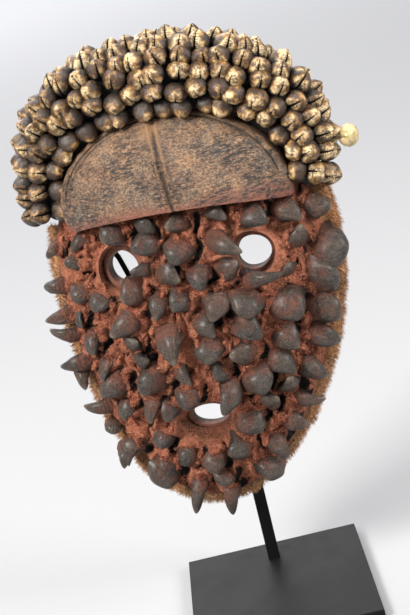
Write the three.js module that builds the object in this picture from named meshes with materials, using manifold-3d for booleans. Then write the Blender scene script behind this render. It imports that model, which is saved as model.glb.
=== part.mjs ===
// Wè mask covered in horns, with a cowrie headdress, on its iron stand.
// Millimetres, +Z up, the viewer looks along +Y. The origin is the centre of the foot plate's underside.
// Inside the mask's own group x runs to the viewer's right, y to the back and z up from the eyes.
import * as THREE from 'three';
import { mergeVertices } from 'three/addons/utils/BufferGeometryUtils.js';
import Module from 'manifold-3d';

const wasm = await Module();
wasm.setup();

// Driving dimensions of the stand.
const PLATE_SIDE = 150;
const PLATE_THICKNESS = 8;
const BAR_SIDE = 10;
const BAR_BEHIND_CENTRE = 50;
const BAR_TOP = 182;
const CRADLE_BOTTOM = 173;
const ROD_RADIUS = 2.3;
const GAP = 0.3;

// Where the mask hangs on the stand, and how it is turned.
const MASK_PLACE = new THREE.Vector3(-3, 28, 300);
const MASK_YAW = THREE.MathUtils.degToRad(-11);
const MASK_LEAN_BACK = THREE.MathUtils.degToRad(-4);
const MASK_ROLL = THREE.MathUtils.degToRad(3.3);

// Driving dimensions of the carved face.
const FACE_HALF_WIDTH = 106;
const FACE_MIDDLE_Z = -20;
const FACE_UP = 132;
const FACE_DOWN = 183;
const FACE_UP_POWER = 2.6;
const FACE_DOWN_POWER = 1.6;
const CHIN_SHIFT = -8;
const FACE_RIM_DEPTH = 16;
const FACE_MIDDLE_DEPTH = 54;
const FACE_FALL_POWER = 1.3;
const WALL = 9;
const CRUST_THICKNESS = 7;

// Driving dimensions of the forehead.
const BROW_HALF_WIDTH = 89;
const BROW_CORNER_Z = 33;
const BROW_ARCH = 8;
const BROW_TILT = 3;
const BROW_UP = 74;
const BROW_UP_POWER = 2.2;
const BROW_CENTRE_Z = 64;
const BROW_CORNER_ROUNDING = 5;
const WORN_BELOW_Z = 50;
const WORN_HEIGHT = 18;
const WORN_BY = 7;
const BROW_LINE_SHARE = 0.985;
const DOME_RIM_DEPTH = 30;
const DOME_BULGE = 46;
const DOME_HALF_WIDTH = 94;
const DOME_HALF_HEIGHT = 66;
const DOME_TOP_OF_BULGE_Z = 50;
const DOME_FLATTEST = 0.02;
const GROOVE_DEPTH = 1.6;
const RIDGE_HALF_WIDTH = 4.5;
const RIDGE_HEIGHT = 2.4;
const RIDGE_SUNK = 3;
const RIDGE_FROM_Z = 42;
const RIDGE_FOOT_X = 4.3;
const RIDGE_LEAN = -0.155;
const RIDGE_TO_Z = 104;
const RIDGE_STEP = 6;

// Openings through the face.
const EYES = [{ x: -46, z: 0, radius: 10.5 }, { x: 53.5, z: -1, radius: 11.5 }];
const MOUTH = { x: -1.5, z: -126, halfWidth: 14, halfHeight: 8.5 };
const HOLE_LENGTH = 90;
const HOLE_BEHIND = 2;
const HOLE_SIDES = 12;
const WOOD_HOLE_FLARE = 2;

// Rows of horns: height at the midline, first horn, spacing and number.
const HORN_ROWS = [
  { z: 27, first: -74, step: 25, count: 8 },
  { z: 10, first: -98, step: 24.5, count: 9 },
  { z: -8, first: -90, step: 20.5, count: 10 },
  { z: -25, first: -88, step: 21, count: 9 },
  { z: -42, first: -77, step: 21.5, count: 9 },
  { z: -60, first: -88, step: 21, count: 9 },
  { z: -78, first: -78, step: 21, count: 9 },
  { z: -96, first: -84, step: 20.5, count: 9 },
  { z: -114, first: -72, step: 20.5, count: 8 },
  { z: -132, first: -62, step: 20.5, count: 7 },
  { z: -149, first: -56, step: 20, count: 6 },
  { z: -166, first: -44, step: 20.5, count: 4 },
  { z: -182, first: -30, step: 20, count: 3 },
];
const ROW_ARCH = 0.0022;
const HORN_WIDTH = 22;
const HORN_LENGTH = 20;
const HORN_SEAT = 5;

// Driving dimensions of the headdress.
const ROLL_HALF_WIDTH = 98;
const ROLL_CENTRE_Z = 60;
const ROLL_UP = 73;
const ROLL_POWER = 2.3;
const ROLL_RADIUS_SIDE = 11;
const ROLL_RADIUS_TOP = 20;
const ROLL_DEPTH_SIDE = 20;
const ROLL_DEPTH_TOP = 32;
const ROLL_END = THREE.MathUtils.degToRad(-13);
const SHELL_LENGTH = 19;
const SHELL_THICKNESS = 11.2;
const SHELL_PITCH = 15.3;
const SHELL_ROWS = 7;
const ROW_SPACING = 13;
const FIRST_ROW_TOP = THREE.MathUtils.degToRad(-38);
const FIRST_ROW_SIDE = THREE.MathUtils.degToRad(-12);
const LAST_ROW = THREE.MathUtils.degToRad(128);

// The hide strip round the face.
const HIDE_WIDTH_LEFT = 8;
const HIDE_WIDTH_RIGHT = 9.5;
const HIDE_FRONT = 14;
const HIDE_BACK = 3;

function material(color, roughness, metalness) {
  return new THREE.MeshStandardMaterial({ color, roughness, metalness });
}

const IRON = material(0x1b1b1d, 0.55, 0.6);
const WOOD = material(0x5b4637, 0.6, 0);
const PASTE = material(0x80402e, 0.95, 0);
const HORN = material(0x3b302b, 0.5, 0);
const SHELL = material(0xb08d57, 0.35, 0);
const CLOTH = material(0x35291f, 0.9, 0);
const HIDE = material(0x8a6238, 0.95, 0);

// A steady unevenness between -1 and 1 for hand-made things. The same number always gives the same value,
// so what is added to a count below only starts another series.
function uneven(n) {
  const wave = Math.sin(n * 12.9898 + 4.1414) * 437.585;
  return 2 * (wave - Math.floor(wave)) - 1;
}

// A closed body under a skin that runs over a stack of rings. A ring of one point is a tip.
function skinOver(rings) {
  const positions = [];
  const starts = [];
  for (const ring of rings) {
    starts.push(positions.length / 3);
    ring.forEach((point) => positions.push(point.x, point.y, point.z));
  }
  const index = [];
  for (let r = 0; r + 1 < rings.length; r += 1) {
    const sides = Math.max(rings[r].length, rings[r + 1].length);
    for (let s = 0; s < sides; s += 1) {
      const next = (s + 1) % sides;
      const lower = (k) => starts[r] + (rings[r].length === 1 ? 0 : k);
      const upper = (k) => starts[r + 1] + (rings[r + 1].length === 1 ? 0 : k);
      if (rings[r].length > 1) index.push(lower(s), lower(next), upper(s));
      if (rings[r + 1].length > 1) index.push(lower(next), upper(next), upper(s));
    }
  }
  const geometry = new THREE.BufferGeometry();
  geometry.setAttribute('position', new THREE.Float32BufferAttribute(positions, 3));
  geometry.setIndex(index);
  return geometry;
}

function solidOf(geometry) {
  const bare = geometry.clone();
  bare.deleteAttribute('normal');
  bare.deleteAttribute('uv');
  const merged = mergeVertices(bare, 1e-4);
  return new wasm.Manifold(new wasm.Mesh({
    numProp: 3,
    vertProperties: new Float32Array(merged.attributes.position.array),
    triVerts: new Uint32Array(merged.index.array),
  }));
}

function geometryOf(solid) {
  const mesh = solid.getMesh();
  const geometry = new THREE.BufferGeometry();
  geometry.setAttribute('position', new THREE.BufferAttribute(new Float32Array(mesh.vertProperties), 3));
  geometry.setIndex(new THREE.BufferAttribute(new Uint32Array(mesh.triVerts), 1));
  geometry.computeVertexNormals();
  return geometry;
}

function joined(solids) {
  return solids.reduce((whole, solid) => whole.add(solid));
}

const mask = new THREE.Group();
mask.rotation.set(MASK_LEAN_BACK, MASK_ROLL, 0);
const turned = new THREE.Group();
turned.position.copy(MASK_PLACE);
turned.rotation.z = MASK_YAW;
turned.add(mask);
const stand = new THREE.Group();
const group = new THREE.Group();
group.add(stand, turned);

function place(parent, name, geometry, finish) {
  const mesh = new THREE.Mesh(geometry, finish);
  mesh.name = name;
  parent.add(mesh);
}

// The carved face: an upright oval, longer below, with its chin a little to the left.
function chinShift(z) {
  const down = Math.max(0, (FACE_MIDDLE_Z - z) / FACE_DOWN);
  return CHIN_SHIFT * down * down;
}

function facePoint(angle, grow) {
  const sine = Math.sin(angle);
  const up = sine >= 0;
  const reach = (up ? FACE_UP : FACE_DOWN) + grow;
  const bend = 2 / (up ? FACE_UP_POWER : FACE_DOWN_POWER);
  const z = FACE_MIDDLE_Z + Math.sign(sine) * reach * Math.abs(sine) ** bend;
  return { x: chinShift(z) + (FACE_HALF_WIDTH + grow) * Math.cos(angle), z };
}

function faceDepth(x, z, grow) {
  const up = z >= FACE_MIDDLE_Z;
  const reach = (up ? FACE_UP : FACE_DOWN) + grow;
  const power = up ? FACE_UP_POWER : FACE_DOWN_POWER;
  const across = (x - chinShift(z)) / (FACE_HALF_WIDTH + grow);
  const outward = across * across + (Math.abs(z - FACE_MIDDLE_Z) / reach) ** power;
  const raised = 1 - Math.min(1, outward) ** FACE_FALL_POWER;
  return FACE_RIM_DEPTH + (FACE_MIDDLE_DEPTH - FACE_RIM_DEPTH) * raised;
}

// The forehead: a half disc over the brow line, bulging forward.
function browLine(x) {
  const across = x / BROW_HALF_WIDTH;
  return BROW_CORNER_Z + BROW_TILT * across + BROW_ARCH * (1 - across * across);
}

function domeDepth(x, z) {
  const across = x / DOME_HALF_WIDTH;
  const up = (z - DOME_TOP_OF_BULGE_Z) / DOME_HALF_HEIGHT;
  return DOME_RIM_DEPTH + DOME_BULGE * Math.sqrt(Math.max(DOME_FLATTEST, 1 - across * across - up * up));
}

// A block between the flat back and a bulging front, over rings that shrink from the outline to its centre.
function bulgingBlock({ outline, centre, rings, depth, back }) {
  const ringAt = (fraction) => outline.map((point, k) => {
    const x = centre.x + fraction * (point.x - centre.x);
    const z = centre.z + fraction * (point.z - centre.z);
    return new THREE.Vector3(x, -depth(x, z, fraction, k), z);
  });
  const backRing = outline.map((point) => new THREE.Vector3(point.x, back, point.z));
  const middle = new THREE.Vector3(centre.x, -depth(centre.x, centre.z, 0, 0), centre.z);
  return solidOf(skinOver([
    [new THREE.Vector3(centre.x, back, centre.z)],
    backRing,
    ...rings.map(ringAt),
    [middle],
  ]));
}

const FACE_SIDES = 24;
const FACE_RINGS = [1, 0.92, 0.74, 0.42];

function faceBlock(grow, thicker, back) {
  const outline = [];
  for (let k = 0; k < FACE_SIDES; k += 1) outline.push(facePoint((2 * Math.PI * k) / FACE_SIDES, grow));
  return bulgingBlock({
    outline,
    centre: { x: 0, z: FACE_MIDDLE_Z },
    rings: FACE_RINGS,
    depth: (x, z) => faceDepth(x, z, grow) + thicker,
    back,
  });
}

const ARC_SIDES = 20;
const BROW_SIDES = 6;

// The forehead's lower corner to the viewer's left is worn rounder than the other.
function wornCorner(x, z) {
  const low = Math.max(0, (WORN_BELOW_Z - z) / WORN_HEIGHT);
  const left = Math.max(0, -x / BROW_HALF_WIDTH);
  return x + WORN_BY * low ** 2 * left ** 6;
}

function browOutline(grow) {
  const outline = [];
  for (let k = 0; k <= ARC_SIDES; k += 1) {
    const angle = (Math.PI * k) / ARC_SIDES;
    outline.push({
      x: (BROW_HALF_WIDTH + grow) * Math.cos(angle),
      z: BROW_CORNER_Z + BROW_CORNER_ROUNDING + (BROW_UP + grow) * Math.sin(angle) ** (2 / BROW_UP_POWER),
    });
  }
  for (let k = 0; k <= BROW_SIDES; k += 1) {
    const x = (BROW_HALF_WIDTH + grow) * ((2 * k) / BROW_SIDES - 1) * BROW_LINE_SHARE;
    outline.push({ x, z: browLine(x) - grow });
  }
  return outline.map(({ x, z }) => ({ x: wornCorner(x, z), z }));
}

// A groove follows the round edge of the forehead and leaves a raised rim outside it.
const CARVED_RINGS = [1, 0.955, 0.93, 0.905, 0.7, 0.4];
const PLAIN_RINGS = [1, 0.8, 0.5];
const GROOVE_RING = 0.93;

function foreheadBlock({ grow, thicker, back, rings }) {
  return bulgingBlock({
    outline: browOutline(grow),
    centre: { x: 0, z: BROW_CENTRE_Z },
    rings,
    depth: (x, z, fraction, k) => {
      const inGroove = fraction === GROOVE_RING && k > 0 && k < ARC_SIDES;
      return domeDepth(x, z) + thicker - (inGroove ? GROOVE_DEPTH : 0);
    },
    back,
  });
}

function headBlock(grow, rings) {
  return faceBlock(grow, grow, grow).add(foreheadBlock({ grow, thicker: grow, back: grow, rings }));
}

function hollow() {
  const forehead = foreheadBlock({ grow: -WALL, thicker: -WALL, back: HOLE_BEHIND, rings: PLAIN_RINGS });
  return faceBlock(1 - WALL, -WALL, HOLE_BEHIND).add(forehead);
}

// A round hole from front to back, wider in front.
function holeThrough(opening, rearRadius, frontRadius, stretch) {
  const geometry = new THREE.CylinderGeometry(rearRadius, frontRadius, HOLE_LENGTH, HOLE_SIDES);
  geometry.scale(stretch, 1, 1);
  geometry.translate(opening.x, HOLE_BEHIND - HOLE_LENGTH / 2, opening.z);
  return solidOf(geometry);
}

function eyeHoles(wider, flare) {
  return EYES.map((eye) => holeThrough(eye, eye.radius + wider, eye.radius + wider + flare, 1));
}

function mouthHole(wider) {
  const stretch = MOUTH.halfWidth / MOUTH.halfHeight;
  return holeThrough(MOUTH, MOUTH.halfHeight, MOUTH.halfHeight + wider, stretch);
}

// The median ridge of the forehead: two low beads with a groove between them, sunk into the dome.
const RIDGE_SECTION = [[-0.6, 1], [0, 0], [0.6, 1], [1, -1], [-1, -1]];

// The ridge leans: its foot is to the viewer's right of its top.
function ridgeX(z) {
  return RIDGE_FOOT_X + RIDGE_LEAN * (z - RIDGE_FROM_Z);
}

function medianRidge() {
  const ringAt = (z) => RIDGE_SECTION.map(([across, up]) => new THREE.Vector3(
    ridgeX(z) + across * RIDGE_HALF_WIDTH,
    -domeDepth(0, z) - up * (up > 0 ? RIDGE_HEIGHT : RIDGE_SUNK),
    z,
  ));
  const tipAt = (z) => [new THREE.Vector3(ridgeX(z), -domeDepth(0, z) + RIDGE_SUNK / 2, z)];
  const rings = [tipAt(RIDGE_FROM_Z - 0.5)];
  for (let z = RIDGE_FROM_Z; z <= RIDGE_TO_Z; z += RIDGE_STEP) rings.push(ringAt(z));
  rings.push(tipAt(RIDGE_TO_Z + 1));
  return solidOf(skinOver(rings));
}

function maskWood() {
  return headBlock(0, CARVED_RINGS)
    .add(medianRidge())
    .subtract(hollow())
    .subtract(joined(eyeHoles(0, WOOD_HOLE_FLARE)))
    .subtract(mouthHole(WOOD_HOLE_FLARE));
}

// Where a horn stands on the crust: the point on its surface and the way it faces.
function crustSurface(x, z) {
  const depth = (a, b) => faceDepth(a, b, 0) + CRUST_THICKNESS;
  const slopeX = (depth(x + 1, z) - depth(x - 1, z)) / 2;
  const slopeZ = (depth(x, z + 1) - depth(x, z - 1)) / 2;
  return {
    point: new THREE.Vector3(x, -depth(x, z), z),
    facing: new THREE.Vector3(-slopeX, -1, -slopeZ).normalize(),
  };
}

// Where a horn's rings are along it, and their width.
const HORN_STEPS = [{ along: 0, width: 1 }, { along: 0.6, width: 0.82 }];
const LONE_HORN_STEPS = [
  { along: 0, width: 1 },
  { along: 0.4, width: 0.92 },
  { along: 0.8, width: 0.6 },
];

const HORN_LEAN = 0.75;
const HORN_FLAT = 0.8;
const RISE_LOST_BY_LEANING = 0.45;
const A_LITTLE_FURTHER = 0.02;

// A horn rises from its seat and bends over the way it points, flattened across.
function horn(one) {
  const { x, z, points, width, length, flat = HORN_FLAT, lean = HORN_LEAN } = one;
  const { grow = 0, steps = HORN_STEPS, sides = 4 } = one;
  const { point, facing } = crustSurface(x, z);
  const seat = HORN_SEAT * -facing.y + grow;
  const height = length * (1 - RISE_LOST_BY_LEANING * lean) + seat + grow;
  const way = new THREE.Vector3(points.x, 0, points.z).normalize();
  way.addScaledVector(facing, -way.dot(facing)).normalize();
  const across = new THREE.Vector3().crossVectors(way, facing).normalize();
  const axisAt = (along) => point.clone()
    .addScaledVector(facing, -seat + height * Math.sin((along * Math.PI) / 2))
    .addScaledVector(way, length * lean * along * along);
  const rings = steps.map(({ along, width: share }) => {
    const centre = axisAt(along);
    const ahead = axisAt(along + A_LITTLE_FURTHER).sub(centre).normalize();
    const thick = new THREE.Vector3().crossVectors(ahead, across).normalize();
    const ring = [];
    for (let s = 0; s < sides; s += 1) {
      const angle = (2 * Math.PI * s) / sides;
      ring.push(centre.clone()
        .addScaledVector(across, (width / 2) * share * Math.cos(angle))
        .addScaledVector(thick, (width / 2) * share * flat * Math.sin(angle)));
    }
    return ring;
  });
  return solidOf(skinOver([[axisAt(0)], ...rings, [axisAt(1)]]));
}

// Horns that stand clear of the rest, each a piece of its own in its socket.
const LONE_HORNS = [
  { name: 'horn_nose', x: -19, z: -49, points: { x: 0.3, z: -1 }, width: 23, length: 32, flat: 0.7 },
  { name: 'horn_over_mouth', x: 22, z: -98, points: { x: -0.6, z: -1 }, width: 18, length: 28 },
  { name: 'horn_at_left_eye', x: -18, z: 20, points: { x: -1, z: -0.27 }, width: 20, length: 20 },
  { name: 'horn_at_right_eye', x: 27, z: 16, points: { x: 1, z: -0.56 }, width: 19, length: 31 },
  { name: 'horn_under_right_eye', x: 46, z: -19, points: { x: 1, z: 0.2 }, width: 15, length: 35 },
  { name: 'horn_right_thorn', x: 66, z: -122, points: { x: 1, z: -0.05 }, width: 16, length: 24 },
  { name: 'horn_chin_left', x: -19, z: -181, points: { x: -0.3, z: -1 }, width: 14, length: 28, lean: 0.95 },
  { name: 'horn_chin_right', x: 3, z: -191, points: { x: -0.1, z: -1 }, width: 15, length: 23, lean: 0.95 },
  { name: 'horn_block', x: -43, z: -167, points: { x: -0.8, z: -0.6 }, width: 26, length: 20, flat: 0.5 },
  { name: 'horn_edge_spike_1', x: -98, z: -12, points: { x: -1, z: 0 }, width: 16, length: 19, lean: 0.9 },
  { name: 'horn_edge_spike_2', x: -98, z: -35, points: { x: -1, z: -0.2 }, width: 14, length: 24, lean: 0.9 },
  { name: 'horn_edge_spike_3', x: -95, z: -52, points: { x: -1, z: 0.2 }, width: 13, length: 24, lean: 0.9 },
  { name: 'horn_edge_spike_4', x: -90, z: -74, points: { x: -1, z: -0.15 }, width: 15, length: 26, lean: 0.9 },
  { name: 'horn_edge_spike_5', x: -80, z: -113, points: { x: -1, z: 0.05 }, width: 15, length: 23, lean: 0.9 },
  { name: 'horn_edge_spike_6', x: -68, z: -146, points: { x: -0.35, z: -1 }, width: 13, length: 21, lean: 0.9 },
];

function halfWidthAt(z) {
  const up = z >= FACE_MIDDLE_Z;
  const reach = Math.abs(z - FACE_MIDDLE_Z) / (up ? FACE_UP : FACE_DOWN);
  return FACE_HALF_WIDTH * Math.sqrt(Math.max(0, 1 - reach ** (up ? FACE_UP_POWER : FACE_DOWN_POWER)));
}

const HORN_CLEARANCE = 15;
const EYE_CLEARANCE = 21;
const MOUTH_CLEARANCE = { across: 25, up: 18 };
const HORN_FROM_EDGE = 14;
const FAN_OUT = 90;

// The rest of the horns, row by row, where no hole and no horn of its own is in the way.
function rowHorns(taken) {
  const horns = [];
  HORN_ROWS.forEach((row, r) => {
    for (let k = 0; k < row.count; k += 1) {
      const seed = 17 * r + k;
      const along = row.first + k * row.step + 2.5 * uneven(seed);
      const z = row.z - (r > 0 ? ROW_ARCH * along * along : 0) + 2 * uneven(seed + 300);
      const reach = halfWidthAt(z) - HORN_FROM_EDGE;
      const x = chinShift(z) + THREE.MathUtils.clamp(along - chinShift(z), -reach, reach);
      const atEye = EYES.some((eye) => Math.hypot(x - eye.x, z - eye.z) < EYE_CLEARANCE);
      const besideMouth = (x - MOUTH.x) / MOUTH_CLEARANCE.across;
      const overMouth = (z - MOUTH.z) / MOUTH_CLEARANCE.up;
      const atMouth = Math.hypot(besideMouth, overMouth) < 1;
      const atHorn = taken.some((other) => Math.hypot(x - other.x, z - other.z) < HORN_CLEARANCE);
      if (!atEye && !atMouth && !atHorn) {
        horns.push({
          x,
          z,
          points: { x: x / FAN_OUT + 0.6 * uneven(seed + 600), z: -0.8 + 0.45 * uneven(seed + 900) },
          width: HORN_WIDTH + 2 * uneven(seed + 1200),
          length: HORN_LENGTH + 3 * uneven(seed + 1500),
          flat: HORN_FLAT + 0.1 * uneven(seed + 1800),
        });
      }
    }
  });
  return horns;
}

const EYE_RING_RADIUS = 17;
const EYE_RING_THICKNESS = 3.2;
const CRUST_INSET = 1.5;
const CRUST_TOP_Z = 44;
const CRUST_EYE_WIDER = 1.5;
const CRUST_EYE_FLARE = 3;
const BASIN_WIDER = 8;

// The raised ring of paste round an eye, lying on the slope of the crust.
function eyeRing(eye) {
  const { point, facing } = crustSurface(eye.x, eye.z);
  const geometry = new THREE.TorusGeometry(EYE_RING_RADIUS, EYE_RING_THICKNESS, 4, HOLE_SIDES);
  geometry.applyQuaternion(new THREE.Quaternion().setFromUnitVectors(new THREE.Vector3(0, 0, 1), facing));
  geometry.translate(point.x, point.y, point.z);
  return solidOf(geometry);
}

// Everything above a level, to end the crust under the headdress.
function slabAbove(z) {
  const side = 3 * FACE_HALF_WIDTH;
  return solidOf(new THREE.BoxGeometry(side, side, side).translate(0, 0, z + side / 2));
}

function facePieces() {
  const lone = LONE_HORNS.map((one) => ({ ...one, steps: LONE_HORN_STEPS, sides: 5 }));
  const wood = headBlock(GAP, PLAIN_RINGS);
  const field = rowHorns(lone);
  const sockets = lone.map((one) => horn({ ...one, width: one.width + 2 * GAP, grow: GAP }));
  const crust = faceBlock(-CRUST_INSET, CRUST_THICKNESS, 0)
    .add(joined(EYES.map(eyeRing)))
    .subtract(joined(eyeHoles(CRUST_EYE_WIDER, CRUST_EYE_FLARE)))
    .subtract(mouthHole(BASIN_WIDER))
    .add(joined(field.map(horn)))
    .subtract(joined(sockets))
    .subtract(wood)
    .subtract(rollBody(2 * GAP))
    .subtract(slabAbove(CRUST_TOP_Z));
  place(mask, 'face_crust', geometryOf(crust), PASTE);
  lone.forEach((one) => place(mask, one.name, geometryOf(horn(one).subtract(wood)), HORN));
}

// The padded roll of the headdress: an arch round the forehead, thicker at the top.
function rollRise(angle) {
  return Math.max(0, Math.sin(angle));
}

function rollRadius(angle) {
  return ROLL_RADIUS_SIDE + (ROLL_RADIUS_TOP - ROLL_RADIUS_SIDE) * rollRise(angle);
}

function rollPoint(angle, around, radius) {
  const fuller = (value, power) => Math.sign(value) * Math.abs(value) ** power;
  const outward = new THREE.Vector3(
    fuller(Math.cos(angle), 2 - 2 / ROLL_POWER) / ROLL_HALF_WIDTH,
    0,
    fuller(Math.sin(angle), 2 - 2 / ROLL_POWER) / ROLL_UP,
  ).normalize();
  const depth = ROLL_DEPTH_SIDE + (ROLL_DEPTH_TOP - ROLL_DEPTH_SIDE) * rollRise(angle);
  const centre = new THREE.Vector3(
    ROLL_HALF_WIDTH * fuller(Math.cos(angle), 2 / ROLL_POWER),
    -depth,
    ROLL_CENTRE_Z + ROLL_UP * fuller(Math.sin(angle), 2 / ROLL_POWER),
  );
  return centre
    .addScaledVector(new THREE.Vector3(0, -1, 0), radius * Math.cos(around))
    .addScaledVector(outward, radius * Math.sin(around));
}

const ROLL_STEPS = 16;
const ROLL_SIDES = 8;
const ROLL_TIP = 0.04;
const ROLL_INWARD = 1.1;

function rollBody(grow) {
  const rings = [[rollPoint(ROLL_END - ROLL_TIP, 0, 0)]];
  for (let k = 0; k <= ROLL_STEPS; k += 1) {
    const angle = ROLL_END + ((Math.PI - 2 * ROLL_END) * k) / ROLL_STEPS;
    const ring = [];
    for (let s = 0; s < ROLL_SIDES; s += 1) {
      const around = (2 * Math.PI * s) / ROLL_SIDES;
      const inward = 1 + ROLL_INWARD * Math.max(0, -Math.sin(around)) ** 10;
      ring.push(rollPoint(angle, around, rollRadius(angle) * inward + grow));
    }
    rings.push(ring);
  }
  rings.push([rollPoint(Math.PI - ROLL_END + ROLL_TIP, 0, 0)]);
  return solidOf(skinOver(rings));
}

// Cowries on end, side by side: each swells to its full girth and narrows to where it touches the next.
// The profile is seen along the row, in shares of the thickness and of the length.
const SHELL_PROFILE = [[0, 0], [0.42, 0.32], [0.42, 0.7], [0, 1], [-0.5, 0.55]];
const SHELL_MIDDLE = 0.5;
const TOUCH_SHARE = 0.5;
const FINE_ANGLE = 0.002;

function rowAround(row, angle) {
  const first = FIRST_ROW_SIDE + (FIRST_ROW_TOP - FIRST_ROW_SIDE) * rollRise(angle);
  return first + (row * ROW_SPACING) / (rollRadius(angle) + SHELL_LENGTH / 2);
}

function rowMiddle(row, angle) {
  return rollPoint(angle, rowAround(row, angle), rollRadius(angle) + SHELL_LENGTH / 2);
}

function shellRing(row, angle, share) {
  const around = rowAround(row, angle);
  const foot = rollPoint(angle, around, rollRadius(angle) + 3 * GAP);
  const axis = rollPoint(angle, around, 1).sub(rollPoint(angle, around, 0));
  const side = rowMiddle(row, angle + FINE_ANGLE).sub(rowMiddle(row, angle));
  const slit = new THREE.Vector3().crossVectors(axis, side).normalize();
  return SHELL_PROFILE.map(([forward, along]) => foot.clone()
    .addScaledVector(axis, SHELL_LENGTH * (SHELL_MIDDLE + share * (along - SHELL_MIDDLE)))
    .addScaledVector(slit, SHELL_THICKNESS * share * forward));
}

function cowrieRow(row) {
  const angles = [];
  let walked = (row % 2) * (SHELL_PITCH / 4);
  let before = rowMiddle(row, ROLL_END);
  for (let angle = ROLL_END; angle < Math.PI - ROLL_END; angle += FINE_ANGLE) {
    const here = rowMiddle(row, angle);
    walked += here.distanceTo(before);
    before = here;
    if (walked >= SHELL_PITCH / 2) {
      walked -= SHELL_PITCH / 2;
      if (rowAround(row, angle) < LAST_ROW) angles.push(angle);
    }
  }
  if (angles.length % 2 === 0) angles.pop();
  const rings = angles.map((angle, k) => shellRing(row, angle, k % 2 === 0 ? TOUCH_SHARE : 1));
  const tip = (angle) => [rowMiddle(row, angle)];
  rings[0] = tip(angles[0]);
  rings[rings.length - 1] = tip(angles.at(-1));
  return skinOver(rings);
}

// The one shell that stands proud at the right temple, its smooth back to the viewer.
const LOOSE_SHELL_PLACE = new THREE.Vector3(132.8, -26, 72);
const LOOSE_SHELL_HALF_WIDTH = 7;
const LOOSE_SHELL_HALF_HEIGHT = 6.5;

function looseCowrie() {
  const egg = new THREE.SphereGeometry(1, 8, 5);
  egg.scale(LOOSE_SHELL_HALF_WIDTH, SHELL_LENGTH / 2, LOOSE_SHELL_HALF_HEIGHT);
  return egg.translate(LOOSE_SHELL_PLACE.x, LOOSE_SHELL_PLACE.y, LOOSE_SHELL_PLACE.z);
}

// The strip of hide round the face, from temple to temple under the chin, with an uneven outer edge.
const HIDE_STEPS = 34;
const HIDE_INSIDE = 2 * GAP;
const HIDE_START = THREE.MathUtils.degToRad(16);
const HIDE_ROUNDING = 1.5;

function hideBorder() {
  const rings = [];
  for (let k = 0; k <= HIDE_STEPS; k += 1) {
    const angle = HIDE_START - ((Math.PI + 2 * HIDE_START) * k) / HIDE_STEPS;
    const toRight = 0.5 + 0.5 * Math.cos(angle);
    const width = HIDE_WIDTH_LEFT + (HIDE_WIDTH_RIGHT - HIDE_WIDTH_LEFT) * toRight + uneven(k + 70);
    const corner = (grow, forward) => {
      const point = facePoint(angle, grow);
      return new THREE.Vector3(point.x, -forward, point.z);
    };
    rings.push([
      corner(HIDE_INSIDE, HIDE_BACK),
      corner(width, HIDE_BACK + HIDE_ROUNDING),
      corner(width - HIDE_ROUNDING, HIDE_FRONT - HIDE_ROUNDING),
      corner(HIDE_INSIDE, HIDE_FRONT),
    ]);
  }
  const end = (ring) => [ring.reduce((sum, point) => sum.add(point), new THREE.Vector3()).divideScalar(4)];
  return skinOver([end(rings[0]), ...rings, end(rings.at(-1))]);
}

const PLATE_EDGE = 0.8;

// The iron stand: foot plate, square bar, and a rod bent to a lyre whose arms reach into the hollow.
function footPlate() {
  const half = PLATE_SIDE / 2 - PLATE_EDGE;
  const square = new THREE.Shape([
    new THREE.Vector2(-half, -half),
    new THREE.Vector2(half, -half),
    new THREE.Vector2(half, half),
    new THREE.Vector2(-half, half),
  ]);
  const geometry = new THREE.ExtrudeGeometry(square, {
    depth: PLATE_THICKNESS - 2 * PLATE_EDGE,
    bevelThickness: PLATE_EDGE,
    bevelSize: PLATE_EDGE,
    bevelSegments: 1,
  });
  return geometry.translate(0, 0, PLATE_EDGE);
}

function upright() {
  const bottom = PLATE_THICKNESS + GAP;
  const geometry = new THREE.BoxGeometry(BAR_SIDE, BAR_SIDE, BAR_TOP - bottom);
  return geometry.translate(0, BAR_BEHIND_CENTRE, (BAR_TOP + bottom) / 2);
}

function cradle() {
  turned.updateMatrixWorld(true);
  const inMask = (x, y, z) => mask.localToWorld(new THREE.Vector3(x, y, z));
  const front = BAR_BEHIND_CENTRE - BAR_SIDE / 2 - GAP - ROD_RADIUS;
  const path = new THREE.CatmullRomCurve3([
    inMask(-78, -13, 30),
    inMask(-62, -2, 0),
    inMask(-50, 3, -40),
    new THREE.Vector3(-38, front - 4, CRADLE_BOTTOM + 37),
    new THREE.Vector3(-16, front, CRADLE_BOTTOM + 5),
    new THREE.Vector3(0, front, CRADLE_BOTTOM),
    new THREE.Vector3(16, front, CRADLE_BOTTOM + 5),
    new THREE.Vector3(40, front - 6, CRADLE_BOTTOM + 37),
    inMask(58, 3, -40),
    inMask(66, -2, 0),
    inMask(78, -13, 30),
  ]);
  const section = new THREE.Shape().absarc(0, 0, ROD_RADIUS, 0, 2 * Math.PI);
  return new THREE.ExtrudeGeometry(section, {
    extrudePath: path,
    steps: 20,
    curveSegments: 3,
    bevelEnabled: false,
  });
}

place(stand, 'stand_plate', footPlate(), IRON);
place(stand, 'stand_upright', upright(), IRON);
place(stand, 'stand_cradle', cradle(), IRON);
place(mask, 'mask_wood', geometryOf(maskWood()), WOOD);
facePieces();
const padding = rollBody(0).subtract(headBlock(GAP, PLAIN_RINGS));
place(mask, 'headdress_pad', geometryOf(padding), CLOTH);
for (let row = 0; row < SHELL_ROWS; row += 1) {
  place(mask, `cowrie_row_${row + 1}`, cowrieRow(row), SHELL);
}
place(mask, 'loose_cowrie', looseCowrie(), SHELL);
place(mask, 'hide_border', hideBorder(), HIDE);

export default group;
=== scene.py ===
import math
import bpy
import numpy as np
from mathutils import Matrix, Vector, noise


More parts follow.
